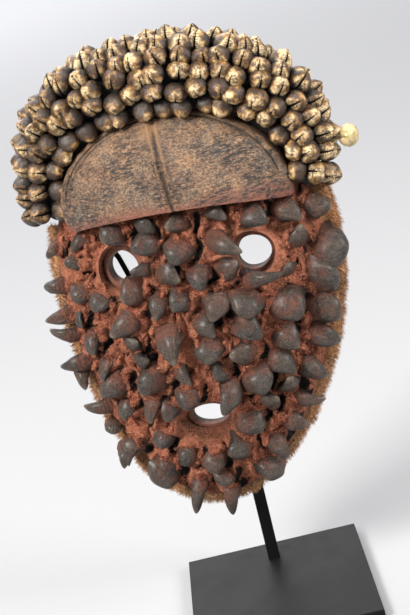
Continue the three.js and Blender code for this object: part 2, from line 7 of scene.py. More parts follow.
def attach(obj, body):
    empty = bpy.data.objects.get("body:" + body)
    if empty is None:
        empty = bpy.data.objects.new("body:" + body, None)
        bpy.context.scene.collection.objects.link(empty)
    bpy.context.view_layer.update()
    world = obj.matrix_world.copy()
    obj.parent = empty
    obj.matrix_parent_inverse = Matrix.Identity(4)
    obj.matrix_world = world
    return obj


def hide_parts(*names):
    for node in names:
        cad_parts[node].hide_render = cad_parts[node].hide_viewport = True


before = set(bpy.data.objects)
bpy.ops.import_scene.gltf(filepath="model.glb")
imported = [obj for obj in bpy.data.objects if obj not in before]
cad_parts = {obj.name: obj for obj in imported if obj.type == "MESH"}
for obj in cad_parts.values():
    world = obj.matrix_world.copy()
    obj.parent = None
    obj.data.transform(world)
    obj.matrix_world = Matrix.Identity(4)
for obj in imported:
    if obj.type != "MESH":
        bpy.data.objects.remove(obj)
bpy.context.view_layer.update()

# The photographer's view: a long lens a metre in front of the mask, looking a little down on it,
# with the camera held askew so that the mask stands upright in the picture and the iron leans.
PICTURE = (410, 615)
FOCAL_PIXELS = 1330
FILM_SIZE = 36
CAMERA_PLACE = Vector((0.01383, -0.98314, 0.56156))
LOOKS_DOWN = math.radians(17.224)
LOOKS_LEFT = math.radians(1.145)
HELD_ASKEW = math.radians(13.79)

ahead = Vector((
    -math.sin(LOOKS_LEFT) * math.cos(LOOKS_DOWN),
    math.cos(LOOKS_LEFT) * math.cos(LOOKS_DOWN),
    -math.sin(LOOKS_DOWN),
))
level_right = Vector((math.cos(LOOKS_LEFT), math.sin(LOOKS_LEFT), 0))
level_down = ahead.cross(level_right)
picture_right = level_right * math.cos(HELD_ASKEW) + level_down * math.sin(HELD_ASKEW)
picture_down = level_down * math.cos(HELD_ASKEW) - level_right * math.sin(HELD_ASKEW)
camera = bpy.data.objects.new("camera", bpy.data.cameras.new("camera"))
camera.matrix_world = Matrix.Translation(CAMERA_PLACE) @ Matrix((
    picture_right, -picture_down, -ahead)).transposed().to_4x4()
camera.data.sensor_width = FILM_SIZE
camera.data.lens = FILM_SIZE * FOCAL_PIXELS / PICTURE[1]
bpy.context.scene.collection.objects.link(camera)
bpy.context.scene.camera = camera
bpy.context.scene.view_settings.view_transform = "Standard"


# Pale studio floor, a matt sheet that runs far back under the stand.
# Four broad soft lights and the white room round it light the mask.
FLOOR_REACH = 30.0
FLOOR_UNDER_PLATE = 0.0002
FLOOR_TONE = (0.35, 0.35, 0.355, 1)
ROOM_TONE = (0.93, 0.95, 1.0, 1)
ROOM_BRIGHTNESS = 0.38
# Each light: where it hangs, where it looks, its size in metres, its watts and its tone.
SOFT_LIGHTS = {
    "window_left": ((-2.0, -1.5, 2.1), (0, 0, 0.28), (1.0, 0.9), 168, (1.0, 0.98, 0.95)),
    "window_above": ((-0.2, -0.1, 3.2), (-0.2, -0.1, 0), (2.6, 2.6), 36, (0.98, 0.99, 1.0)),
    "window_right": ((1.9, -0.9, 1.3), (0, 0, 0.28), (1.0, 1.0), 62, (1.0, 0.98, 0.96)),
    "window_behind": ((-3.0, 10.0, 6.0), (-3.0, 10.0, 0), (10.0, 14.0), 1880, (0.98, 0.98, 1.0)),
}


def give(tree, socket, value):
    """Sets a node's input, or links it where the value comes from another node."""
    if isinstance(value, bpy.types.NodeSocket):
        tree.links.new(value, socket)
    else:
        socket.default_value = value


def set_up(tree, node, settings):
    """Gives a node's inputs their values by name, and makes its other settings."""
    for name, value in settings.items():
        socket = node.inputs.get(name.replace("_", " "))
        if socket is None:
            setattr(node, name, value)
        else:
            give(tree, socket, value)
    return node


def new_material(name):
    material = bpy.data.materials.new(name)
    material.use_nodes = True
    return material, material.node_tree


def surface(tree, **looks):
    return set_up(tree, tree.nodes["Principled BSDF"], looks)


def mesh_object(name, points, faces, material):
    mesh = bpy.data.meshes.new(name)
    mesh.from_pydata([tuple(point) for point in points], [], faces)
    mesh.materials.append(material)
    piece = bpy.data.objects.new(name, mesh)
    bpy.context.scene.collection.objects.link(piece)
    return piece


floor_paint, tree = new_material("pale_floor")
surface(tree, Base_Color=FLOOR_TONE, Roughness=0.9)
floor = mesh_object(
    "floor",
    [(side * FLOOR_REACH, back * FLOOR_REACH, -FLOOR_UNDER_PLATE)
     for side, back in ((-1, -1), (1, -1), (1, 1), (-1, 1))],
    [(0, 1, 2, 3)],
    floor_paint,
)
for name, (place, towards, size, watts, tone) in SOFT_LIGHTS.items():
    light = bpy.data.lights.new(name, "AREA")
    light.shape = "RECTANGLE"
    light.size, light.size_y = size
    light.energy = watts
    light.color = tone
    lamp = bpy.data.objects.new(name, light)
    lamp.location = place
    lamp.rotation_euler = (Vector(towards) - Vector(place)).to_track_quat("-Z", "Y").to_euler()
    bpy.context.scene.collection.objects.link(lamp)
room = bpy.data.worlds.new("studio")
room.use_nodes = True
set_up(room.node_tree, room.node_tree.nodes["Background"], {"Color": ROOM_TONE, "Strength": ROOM_BRIGHTNESS})
bpy.context.scene.world = room


# Stand: a square iron bar welded to an iron foot plate, with a bent rod on top that holds the mask.
# It is painted satin black, and scuffed and dusty where it faces up.
IRON_BLACK = (0.006, 0.006, 0.0065, 1)
IRON_DUST = (0.018, 0.018, 0.019, 1)
IRON_PIT_DEPTH = 0.00006
FACES_UP_FROM, FACES_UP_FULLY = 0.5, 0.95
DUST_EVERYWHERE, DUST_IN_PATCHES, DUST_IN_SCUFFS = 0.04, 0.26, 0.5


def node_of(tree, kind, **settings):
    return set_up(tree, tree.nodes.new(kind), settings)


def place_on(tree, kind="Object"):
    """The place on the piece that a pattern follows."""
    return node_of(tree, "ShaderNodeTexCoord").outputs[kind]


def speckle(tree, place, scale, detail=4.0, roughness=0.6, stretch=(1, 1, 1)):
    """Cloudy unevenness between 0 and 1."""
    mapping = node_of(tree, "ShaderNodeMapping", Scale=stretch, Vector=place)
    cloud = node_of(tree, "ShaderNodeTexNoise", Scale=scale, Detail=detail, Roughness=roughness,
                    Vector=mapping.outputs["Vector"])
    return cloud.outputs["Fac"]


def between(tree, value, low, high, dark=0.0, light=1.0):
    """Dark below low, light above high, and an even slope between them."""
    return node_of(tree, "ShaderNodeMapRange", Value=value, From_Min=low, From_Max=high,
                   To_Min=dark, To_Max=light).outputs["Result"]


def blended(tree, share, first, second):
    """A colour between two, each a socket or a fixed colour."""
    return node_of(tree, "ShaderNodeMix", data_type="RGBA", Factor=share, A=first, B=second).outputs["Result"]


def combined(tree, operation, first, second, kind="ShaderNodeMath"):
    both = node_of(tree, kind, operation=operation)
    for socket, value in zip(both.inputs, (first, second)):
        give(tree, socket, value)
    return both.outputs[0]


def sum_of(tree, first, second, kind="ShaderNodeMath"):
    return combined(tree, "ADD", first, second, kind)


def product_of(tree, first, second):
    return combined(tree, "MULTIPLY", first, second)


def bumped(tree, height, depth, before=None):
    """Relief of that depth in metres; a second relief can ride on a first."""
    bump = node_of(tree, "ShaderNodeBump", Strength=1.0, Distance=depth, Height=height)
    if before is not None:
        give(tree, bump.inputs["Normal"], before)
    surface(tree, Normal=bump.outputs["Normal"])
    return bump.outputs["Normal"]


iron, tree = new_material("black_iron")
place = place_on(tree)
normal = node_of(tree, "ShaderNodeNewGeometry").outputs["Normal"]
facing = node_of(tree, "ShaderNodeSeparateXYZ", Vector=normal)
upward = between(tree, facing.outputs["Z"], FACES_UP_FROM, FACES_UP_FULLY)
dust = between(tree, speckle(tree, place, 22, 6, 0.7), 0.42, 0.64)
scuffs = between(tree, speckle(tree, place, 120, 6, 0.8), 0.55, 0.70)
dusty = sum_of(tree, product_of(tree, dust, DUST_IN_PATCHES), DUST_EVERYWHERE)
dusty = sum_of(tree, dusty, product_of(tree, scuffs, DUST_IN_SCUFFS))
share = product_of(tree, dusty, upward)
surface(tree, Base_Color=blended(tree, share, IRON_BLACK, IRON_DUST),
        Roughness=between(tree, share, 0, 1, 0.42, 0.72), Specular_IOR_Level=0.10)
bumped(tree, speckle(tree, place, 900, 3), IRON_PIT_DEPTH)
for name in ("stand_plate", "stand_upright", "stand_cradle"):
    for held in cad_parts[name].material_slots:
        held.material = iron


# The carved mask: one piece of light wood, hollow behind, with a bulging half-disc forehead
# that has a grooved rim and a double median ridge. Dark crust, tan wear, red at the brow line.
# Its lengths are in millimetres: x to the viewer's right, y back and z up from the eyes.
MM_IN_METRE = 1000
MASK_PLACE = Vector((-0.003, 0.028, 0.300))
MASK_YAW, MASK_LEAN, MASK_ROLL = (math.radians(angle) for angle in (-11, -4, 3.3))
TO_MASK = (
    Matrix.Translation(MASK_PLACE)
    @ Matrix.Rotation(MASK_YAW, 4, "Z")
    @ Matrix.Rotation(MASK_LEAN, 4, "X")
    @ Matrix.Rotation(MASK_ROLL, 4, "Y")
    @ Matrix.Scale(1 / MM_IN_METRE, 4)
)
FACE_HALF_WIDTH, FACE_MIDDLE_Z, FACE_UP, FACE_DOWN = 106, -20, 132, 183
FACE_UP_POWER, FACE_DOWN_POWER, CHIN_SHIFT = 2.6, 1.6, -8
FACE_RIM_DEPTH, FACE_MIDDLE_DEPTH, FACE_FALL_POWER, WALL = 16, 54, 1.3, 9
BROW_HALF_WIDTH, BROW_CORNER_Z, BROW_ARCH, BROW_TILT = 89, 33, 8, 3
BROW_UP, BROW_UP_POWER, BROW_CENTRE_Z, BROW_ROUNDING = 74, 2.2, 64, 5
RIDGE_FOOT_X, RIDGE_LEAN, RIDGE_FROM_Z = 4.3, -0.155, 42
DOME_RIM_DEPTH, DOME_BULGE, DOME_HALF_WIDTH, DOME_HALF_HEIGHT, DOME_TOP_Z = 30, 46, 94, 66, 50
EYES = ((-46, 0, 10.5), (53.5, -1, 11.5))
EYE_FUNNELS = ((1.7, -2.5), (1.0, 0))
MOUTH_X, MOUTH_Z, MOUTH_HALF_WIDTH, MOUTH_HALF_HEIGHT = -1.5, -126, 14, 8.5
WORN_BELOW_Z, WORN_HEIGHT, WORN_BY = 50, 18, 7
HOLE_WEAR, WOOD_HOLE_FLARE = 0.6, 2
# A hole's wall from back to front: how far back, and the share of the flare there.
HOLE_WALL = ((3, 0), (-30, 0.12), (-38, 0.3), (-46, 0.6), (-54, 1), (-62, 1.6), (-90, 3.5))


def ripple(x, y, z, scale, seed=0.0):
    """Smooth unevenness between about -1 and 1 at a point, for bumps of about that size."""
    return noise.noise(Vector((x / scale + seed, y / scale + 7.3 * seed, z / scale - seed)))


def chin_shift(z):
    down = max(0, (FACE_MIDDLE_Z - z) / FACE_DOWN)
    return CHIN_SHIFT * down * down


def face_point(angle, grow):
    sine = math.sin(angle)
    reach = (FACE_UP if sine >= 0 else FACE_DOWN) + grow
    bend = 2 / (FACE_UP_POWER if sine >= 0 else FACE_DOWN_POWER)
    z = FACE_MIDDLE_Z + math.copysign(reach * abs(sine) ** bend, sine)
    return chin_shift(z) + (FACE_HALF_WIDTH + grow) * math.cos(angle), z


def face_depth(x, z, grow):
    up = z >= FACE_MIDDLE_Z
    reach = (FACE_UP if up else FACE_DOWN) + grow
    across = (x - chin_shift(z)) / (FACE_HALF_WIDTH + grow)
    power = FACE_UP_POWER if up else FACE_DOWN_POWER
    outward = across * across + (abs(z - FACE_MIDDLE_Z) / reach) ** power
    raised = 1 - min(1, outward) ** FACE_FALL_POWER
    return FACE_RIM_DEPTH + (FACE_MIDDLE_DEPTH - FACE_RIM_DEPTH) * raised


def brow_line(x):
    across = x / BROW_HALF_WIDTH
    return BROW_CORNER_Z + BROW_TILT * across + BROW_ARCH * (1 - across * across)


def dome_depth(x, z):
    across = x / DOME_HALF_WIDTH
    up = (z - DOME_TOP_Z) / DOME_HALF_HEIGHT
    return DOME_RIM_DEPTH + DOME_BULGE * math.sqrt(max(0.02, 1 - across * across - up * up))


def ridge_x(z):
    """The middle line of the forehead's ridge, which leans."""
    return RIDGE_FOOT_X + RIDGE_LEAN * (z - RIDGE_FROM_Z)


def skin_over(rings):
    """Closed skin over a stack of rings; a ring of one point is a tip."""
    points, faces, starts = [], [], []
    for ring in rings:
        starts.append(len(points))
        points.extend(ring)
    for r in range(len(rings) - 1):
        low, high = rings[r], rings[r + 1]
        count = max(len(low), len(high))
        for s in range(count):
            n = (s + 1) % count
            if len(low) == 1:
                faces.append((starts[r], starts[r + 1] + n, starts[r + 1] + s))
            elif len(high) == 1:
                faces.append((starts[r] + s, starts[r] + n, starts[r + 1]))
            else:
                faces.append((starts[r] + s, starts[r] + n, starts[r + 1] + n, starts[r + 1] + s))
    return points, faces


def in_mask(points):
    return [TO_MASK @ Vector(point) for point in points]


def bulging_block(outline, centre, rings, depth, back):
    """Closed block with a flat back and a bulging front over shrinking rings."""
    def ring_at(fraction):
        ring = []
        for k, (px, pz) in enumerate(outline):
            x = centre[0] + fraction * (px - centre[0])
            z = centre[1] + fraction * (pz - centre[1])
            ring.append((x, -depth(x, z, fraction, k), z))
        return ring
    return skin_over([
        [(centre[0], back, centre[1])],
        [(x, back, z) for x, z in outline],
        *[ring_at(fraction) for fraction in rings],
        [(centre[0], -depth(centre[0], centre[1], 0, 0), centre[1])],
    ])


def face_outline(grow, sides):
    return [face_point(2 * math.pi * k / sides, grow) for k in range(sides)]


BROW_ARC_SIDES = 220
BROW_LINE_SIDES = 80
BROW_LINE_SHARE = 0.985


def worn_corner(x, z):
    low = max(0, (WORN_BELOW_Z - z) / WORN_HEIGHT)
    return x + WORN_BY * low ** 2 * max(0, -x / BROW_HALF_WIDTH) ** 6, z


def brow_outline(grow):
    outline = []
    for k in range(BROW_ARC_SIDES + 1):
        angle = math.pi * k / BROW_ARC_SIDES
        rise = (BROW_UP + grow) * max(0, math.sin(angle)) ** (2 / BROW_UP_POWER)
        outline.append(((BROW_HALF_WIDTH + grow) * math.cos(angle), BROW_CORNER_Z + BROW_ROUNDING + rise))
    for k in range(BROW_LINE_SIDES + 1):
        x = (BROW_HALF_WIDTH + grow) * (2 * k / BROW_LINE_SIDES - 1) * BROW_LINE_SHARE
        outline.append((x, brow_line(x) - grow))
    return [worn_corner(x, z) for x, z in outline]


def hill(x, width):
    """A soft bump 1 high at 0, gone at about twice the width."""
    return math.exp(-(x / width) ** 2)


# Each groove: how far out it lies, its half width, its depth, and where along the arc it begins and ends.
RIM_GROOVES = ((0.925, 0.014, 2.2, 0, 1), (0.885, 0.010, 1.3, 0.52, 0.97), (0.962, 0.009, 1.1, 0.5, 0.9))
GROOVE_RUN_OUT = 12
RIM_ROUNDED_FROM, RIM_ROUNDED_OVER, RIM_ROUNDED_BY = 0.97, 0.03, 2.2
RIDGE_BOTTOM_Z, RIDGE_TOP_Z, RIDGE_RUN_OUT = 38, 109, 4
RIDGE_HALF_GAP, RIDGE_HALF_WIDTH, RIDGE_HEIGHT = 3.1, 1.25, 2.2
RIDGE_CHANNEL_HALF_WIDTH, RIDGE_CHANNEL_DEPTH = 1.5, 0.6
CHIP_FROM_RIDGE, CHIP_Z, CHIP_HALF_WIDTH, CHIP_HALF_HEIGHT, CHIP_DEPTH = -6, 103, 6, 4, 1.5
BROAD_TOOLING, FINE_TOOLING, PIT_DEPTH = 0.9, 0.3, 0.5
FACE_TOOLING, HOLLOW_TOOLING, ADZE_MARKS = 0.4, 0.9, 0.8


def forehead_front(x, z, fraction, k):
    depth = dome_depth(x, z)
    depth += BROAD_TOOLING * ripple(x, 0, z, 34, 3) + FINE_TOOLING * ripple(x, 0, z, 9, 5)
    arc_share = k / BROW_ARC_SIDES
    for at, width, cut, first, last in RIM_GROOVES:
        if first <= arc_share <= last:
            ends = min(1, GROOVE_RUN_OUT * (arc_share - first), GROOVE_RUN_OUT * (last - arc_share))
            depth -= cut * ends * hill(fraction - at, width)
    if fraction > RIM_ROUNDED_FROM and k > 0:
        depth -= RIM_ROUNDED_BY * ((fraction - RIM_ROUNDED_FROM) / RIM_ROUNDED_OVER) ** 2
    along = min(1, max(0, (z - RIDGE_BOTTOM_Z) / RIDGE_RUN_OUT))
    along *= min(1, max(0, (RIDGE_TOP_Z - z) / RIDGE_RUN_OUT))
    from_ridge = x - ridge_x(z)
    depth += along * (RIDGE_HEIGHT * hill(abs(from_ridge) - RIDGE_HALF_GAP, RIDGE_HALF_WIDTH)
                      - RIDGE_CHANNEL_DEPTH * hill(from_ridge, RIDGE_CHANNEL_HALF_WIDTH))
    depth -= (CHIP_DEPTH * hill(from_ridge - CHIP_FROM_RIDGE, CHIP_HALF_WIDTH)
              * hill(z - CHIP_Z, CHIP_HALF_HEIGHT))
    depth -= PIT_DEPTH * max(0, ripple(x, 0, z, 5, 8)) ** 2
    return depth


def filled_rings(count):
    return [1 - k / count for k in range(count)]


def join_and_cut(base, added, cut):
    """Joins and cuts closed bodies, and leaves one plain mesh on the first."""
    for tool, operation in [(one, "UNION") for one in added] + [(one, "DIFFERENCE") for one in cut]:
        step = base.modifiers.new(operation, "BOOLEAN")
        step.operation = operation
        step.solver = "MANIFOLD"
        step.object = tool
    settle(base)
    for tool in (*added, *cut):
        bpy.data.objects.remove(tool)


def settle(piece):
    """Turns a piece's modifiers into plain mesh."""
    bpy.context.view_layer.update()
    evaluated = piece.evaluated_get(bpy.context.evaluated_depsgraph_get())
    mesh = bpy.data.meshes.new_from_object(evaluated)
    piece.modifiers.clear()
    piece.data = mesh


def smooth(piece, sharp_over=50):
    piece.data.shade_smooth()
    piece.data.set_sharp_from_angle(angle=math.radians(sharp_over))


def face_block(name, grow, thicker, back, material, uneven, rings=30, sides=180):
    def front(x, z, fraction, k):
        return face_depth(x, z, grow) + thicker + uneven * ripple(x, 0, z, 14, 2)
    points, faces = bulging_block(
        face_outline(grow, sides), (0, FACE_MIDDLE_Z), filled_rings(rings), front, back)
    return mesh_object(name, in_mask(points), faces, material)


def forehead_block(name, grow, back, front, material, rings):
    points, faces = bulging_block(
        brow_outline(grow), (0, BROW_CENTRE_Z), filled_rings(rings), front, back)
    return mesh_object(name, in_mask(points), faces, material)


def hole_through(name, x, z, half_width, half_height, flare, material, sides=48, aside=0):
    """A hole from front to back, wider in front and there a little aside, with a worn uneven wall."""
    rings = []
    for y, share in HOLE_WALL:
        ring = []
        for k in range(sides):
            angle = 2 * math.pi * k / sides
            worn = HOLE_WEAR * ripple(math.cos(angle) * 8, y / 3, math.sin(angle) * 8, 7, x)
            ring.append((
                x + aside * share + (half_width + share * flare + worn) * math.cos(angle),
                y,
                z + (half_height + share * flare + worn) * math.sin(angle),
            ))
        rings.append(ring)
    points, faces = skin_over([[(x, HOLE_WALL[0][0], z)], *rings, [(x, HOLE_WALL[-1][0], z)]])
    return mesh_object(name, in_mask(points), faces, material)


def hole_cutters(material, wider, flare):
    cutters = [
        hole_through("eye", x, z, radius + wider, radius + wider, flare * widens, material, aside=aside)
        for (x, z, radius), (widens, aside) in zip(EYES, EYE_FUNNELS)
    ]
    cutters.append(hole_through("mouth", MOUTH_X, MOUTH_Z, MOUTH_HALF_WIDTH + wider,
                                MOUTH_HALF_HEIGHT + wider, flare, material))
    return cutters


WOOD_BROWN = (0.190, 0.098, 0.052, 1)
WOOD_TAN = (0.320, 0.178, 0.088, 1)
WOOD_GREY = (0.135, 0.098, 0.070, 1)
WOOD_CRUST = (0.020, 0.015, 0.012, 1)
WOOD_RED = (0.250, 0.070, 0.040, 1)
WOOD_PALE = (0.520, 0.360, 0.215, 1)
WOOD_RUST = (0.200, 0.092, 0.046, 1)
WOOD_BARE = (0.185, 0.115, 0.068, 1)
WOOD_GRAIN_DEPTH, WOOD_LUMP_DEPTH = 0.0016, 0.0020


def attribute_of(tree, name, output="Fac"):
    return node_of(tree, "ShaderNodeAttribute", attribute_name=name).outputs[output]


def layered(tree, colour, *layers):
    """Lays colours over a first one, each given with its share between 0 and 1."""
    for share, over in layers:
        colour = blended(tree, share, colour, over)
    return colour


wood, tree = new_material("worn_wood")
place = place_on(tree)
broad = speckle(tree, place, 24, 4, 0.6)
patchy = speckle(tree, place, 75, 6, 0.72)
strokes = speckle(tree, place, 380, 6, 0.80, (0.32, 1, 1.5))
flecks = speckle(tree, place, 700, 5, 0.82, (0.7, 1, 1.2))
rusty = speckle(tree, place, 55, 6, 0.75, (0.6, 1, 1.4))
clustered = between(tree, speckle(tree, place, 42, 5, 0.65), 0.42, 0.56, 0.05, 1.3)
crusty = product_of(tree, between(tree, strokes, 0.465, 0.565), clustered)
hollow_tone = blended(tree, between(tree, patchy, 0.3, 0.7), WOOD_CRUST, WOOD_BARE)
colour = layered(
    tree, WOOD_GREY,
    (between(tree, broad, 0.40, 0.60), WOOD_BROWN),
    (between(tree, patchy, 0.50, 0.62), WOOD_TAN),
    (between(tree, rusty, 0.50, 0.60, 0, 0.7), WOOD_RUST),
    (between(tree, flecks, 0.52, 0.62, 0, 0.65), WOOD_PALE),
    (between(tree, flecks, 0.48, 0.41, 0, 0.9), WOOD_CRUST),
    (attribute_of(tree, "wear"), WOOD_TAN),
    (attribute_of(tree, "redness"), WOOD_RED),
    (product_of(tree, crusty, attribute_of(tree, "crust")), WOOD_CRUST),
    # Painted shade: dark in the rim's grooves and along the ridge's channel.
    (attribute_of(tree, "groove"), WOOD_CRUST),
    (attribute_of(tree, "inside"), hollow_tone),
)
surface(tree, Base_Color=colour, Roughness=between(tree, patchy, 0.3, 0.7, 0.42, 0.72))
grain = bumped(tree, strokes, WOOD_GRAIN_DEPTH)
bumped(tree, speckle(tree, place, 130, 6, 0.7), WOOD_LUMP_DEPTH, grain)


def hollow_front(x, z, fraction, k):
    return dome_depth(x, z) - WALL + ADZE_MARKS * ripple(x, 0, z, 12, 4)


mask = face_block("mask_wood", 0, 0, 0, wood, FACE_TOOLING)
forehead = forehead_block("forehead", 0, 0, forehead_front, wood, 70)
hollow_face = face_block("hollow_face", 1 - WALL, -WALL, 2, wood, HOLLOW_TOOLING, 24, 120)
hollow_forehead = forehead_block("hollow_forehead", -WALL, 2, hollow_front, wood, 16)
join_and_cut(mask, [forehead], [hollow_face, hollow_forehead, *hole_cutters(wood, 0, WOOD_HOLE_FLARE)])
smooth(mask)


def tinted(piece, **shares):
    """Writes named shares between 0 and 1 at each point of a piece, from its place in the mask."""
    count = len(piece.data.vertices)
    flat = np.empty(3 * count)
    piece.data.vertices.foreach_get("co", flat)
    back = np.array(TO_MASK.inverted())
    x, y, z = back[:3, :3] @ flat.reshape(-1, 3).T + back[:3, 3:]
    for name, share_at in shares.items():
        layer = piece.data.attributes.new(name, "FLOAT", "POINT")
        share = np.broadcast_to(share_at(x, y, z), count)
        layer.data.foreach_set("value", np.clip(share, 0, 1).astype(np.float32))


def hills(x, width):
    """Soft bumps 1 high at 0, for many points at once."""
    return np.exp(-(x / width) ** 2)


ripples = np.vectorize(ripple)
face_depths = np.vectorize(face_depth)
dome_depths = np.vectorize(dome_depth)
brow_edge = brow_outline(0)
brow_turns = np.array([math.atan2(z - BROW_CENTRE_Z, x) for x, z in brow_edge])
brow_reaches = np.array([math.hypot(x, z - BROW_CENTRE_Z) for x, z in brow_edge])
brow_order = np.argsort(brow_turns)
FOREHEAD_FOOT_Z = 25
HOLLOW_SHARE = 0.93
HOLLOW_MARGIN, FRONT_MARGIN, REAR_MARGIN = 2.5, 2, 3


def brow_fraction(x, z):
    """How far out on the forehead a point is: 0 at its middle, 1 at its edge."""
    turn = np.arctan2(z - BROW_CENTRE_Z, x)
    reach = np.interp(turn, brow_turns[brow_order], brow_reaches[brow_order], period=2 * math.pi)
    return np.hypot(x, z - BROW_CENTRE_Z) / reach


def in_hollow_forehead(x, y, z):
    inside = -y < dome_depths(x, z) - WALL + HOLLOW_MARGIN
    return (z > FOREHEAD_FOOT_Z) & inside & (brow_fraction(x, z) < HOLLOW_SHARE)


def on_forehead(x, y, z):
    in_front = -y > face_depths(x, z, 0) + FRONT_MARGIN
    return in_front & (z > FOREHEAD_FOOT_Z) & ~in_hollow_forehead(x, y, z)


RED_HEIGHT, RED_UNEVENNESS, RED_HIGHER_RIGHT, RED_VEIL, RED_UNDER_PASTE = 9, 5, 9, 0.15, 0.7
RED_SHARE, RED_CORNER_SHARE, RED_CORNER_FROM, BROW_REACH = 0.85, 0.5, 0.7, 90
RUBBED_SHARE, RUBBED_HALF_WIDTH = 0.8, 1.1
TORN_SHARE, TORN_FROM_RIDGE, TORN_Z, TORN_HALF_WIDTH, TORN_HALF_HEIGHT = 0.9, -3, 101, 8, 5
RIM_RUBBED_SHARE, RIM_RUBBED_FROM, RIM_RUBBED_OVER, RIM_RUBBED_ABOVE_Z = 0.45, 0.945, 0.02, 60
DARK_BAND_SHARE, DARK_BAND_Z, DARK_BAND_HALF_HEIGHT, DARK_ELSEWHERE = 1.4, 60, 26, 0.35
# Painted shade in each groove of the rim: its half width, and its share.
GROOVE_SHADE = ((0.008, 1), (0.006, 0.8), (0.006, 0.7))
GROOVE_SHADE_SHARE, GROOVE_SHADE_FROM_Z, GROOVE_SHADE_RUN_OUT, GROOVE_SHADE_LEFT_OF_X = 0.85, 50, 10, -5
GROOVE_SHADE_BROKEN_MIDDLE, GROOVE_SHADE_BROKEN_VARIES, CHANNEL_SHADE_HALF_WIDTH = 0.75, 1.2, 1.0
SIDE_SHADE_SHARE, SIDE_SHADE_FROM_RIDGE, SIDE_SHADE_HALF_WIDTH, SIDE_SHADE_TOP_Z = 0.5, 5.6, 0.8, 100


def forehead_redness(x, y, z):
    """Red along the brow line, higher at its right end, and thinly here and there."""
    to_right = x / BROW_REACH
    reach = RED_HEIGHT + RED_UNEVENNESS * ripples(x, 0, 0, 20, 1) + RED_HIGHER_RIGHT * np.maximum(0, to_right)
    low = 1 - (z - brow_line(x)) / reach
    veil = RED_VEIL * np.clip(ripples(x, 0, z, 30, 61) * 2, 0, 1) * ripples(x, 0, z, 3, 63)
    corner = RED_CORNER_SHARE * np.maximum(0, to_right - RED_CORNER_FROM)
    return np.where(on_forehead(x, y, z), RED_SHARE * low + corner + veil, RED_UNDER_PASTE)


def forehead_wear(x, y, z):
    """Rubbed to the tan wood on the ridge, round the chip at its top and along the rim."""
    from_ridge = x - ridge_x(z)
    ridge = hills(np.abs(from_ridge) - RIDGE_HALF_GAP, RUBBED_HALF_WIDTH)
    ridge = ridge * ((z > RIDGE_BOTTOM_Z + 2) & (z < RIDGE_TOP_Z - 1))
    torn = TORN_SHARE * hills(from_ridge - TORN_FROM_RIDGE, TORN_HALF_WIDTH)
    torn = torn * hills(z - TORN_Z, TORN_HALF_HEIGHT)
    rim = RIM_RUBBED_SHARE * np.clip((brow_fraction(x, z) - RIM_RUBBED_FROM) / RIM_RUBBED_OVER, 0, 1)
    rim = rim * (z > RIM_RUBBED_ABOVE_Z)
    return np.where(on_forehead(x, y, z), RUBBED_SHARE * ridge + torn + rim, 0)


def forehead_crust(x, y, z):
    """Thickest in a band across the middle, thin elsewhere."""
    return DARK_BAND_SHARE * hills(z - DARK_BAND_Z, DARK_BAND_HALF_HEIGHT) + DARK_ELSEWHERE


def forehead_groove_shade(x, y, z):
    """Painted shade in the grooves of the rim and in the ridge's channel, gone in places."""
    fraction = brow_fraction(x, z)
    above = np.clip((z - GROOVE_SHADE_FROM_Z) / GROOVE_SHADE_RUN_OUT, 0, 1)
    middle, inner, outer = (
        share * hills(fraction - groove[0], width)
        for groove, (width, share) in zip(RIM_GROOVES, GROOVE_SHADE))
    lines = middle + np.where(x < GROOVE_SHADE_LEFT_OF_X, inner + outer, 0)
    from_ridge = x - ridge_x(z)
    ridge = hills(from_ridge, CHANNEL_SHADE_HALF_WIDTH) * ((z > RIDGE_BOTTOM_Z) & (z < RIDGE_TOP_Z - 1))
    side = SIDE_SHADE_SHARE * hills(from_ridge - SIDE_SHADE_FROM_RIDGE, SIDE_SHADE_HALF_WIDTH)
    ridge = ridge + side * ((z > RIDGE_BOTTOM_Z) & (z < SIDE_SHADE_TOP_Z))
    broken = np.clip(GROOVE_SHADE_BROKEN_MIDDLE + GROOVE_SHADE_BROKEN_VARIES * ripples(x, 0, z, 9, 67), 0, 1)
    return np.where(on_forehead(x, y, z), GROOVE_SHADE_SHARE * broken * (lines * above + ridge), 0)


def behind(x, y, z):
    in_rear = -y < face_depths(x, z, 0) - REAR_MARGIN
    return (in_rear & ~on_forehead(x, y, z)) | in_hollow_forehead(x, y, z)


tinted(mask, redness=forehead_redness, wear=forehead_wear, crust=forehead_crust,
       groove=forehead_groove_shade, inside=behind)
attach(mask, "root")
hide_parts("mask_wood")


# Horns: some eighty blunt antelope horn tips, each bent over its own way, seated in the paste.
# Grey-brown and satin where hands and smoke have polished them, dusted red low down,
# with painted shade along one flank of each and a painted highlight near the tip.
# The paste has dried round their seats; those at the edges and round the mouth stand clear.
CRUST_THICKNESS = 7
HORN_SEAT = 6
HORN_SIDES = 16
HORN_RINGS, HORN_RINGS_GATHER = 13, 1.35
HORN_SWAY, HORN_BEND_POWER, HORN_TAPER, HORN_ROUNDING = 0.10, 1.9, 0.12, 0.6
HORN_RIDGE, HORN_LUMPS, HORN_DENTS = 0.17, 0.20, 0.14
HORN_FULLER = 1.36
TONE_STEP = 0.618
HORN_RISE_PER_WIDTH, HORN_RISE_PER_REACH, HORN_RISE_LEAST = 0.32, 0.18, 1.5
HORN_FLATNESS, HORN_FLATNESS_VARIES = 0.70, 0.12
LEANING_LOWERS = 0.45
MM_PER_PIXEL = 0.76
NEARER_THAN_MASK, FARTHER_THAN_MASK, HALVINGS = 0.8, 1.2, 40

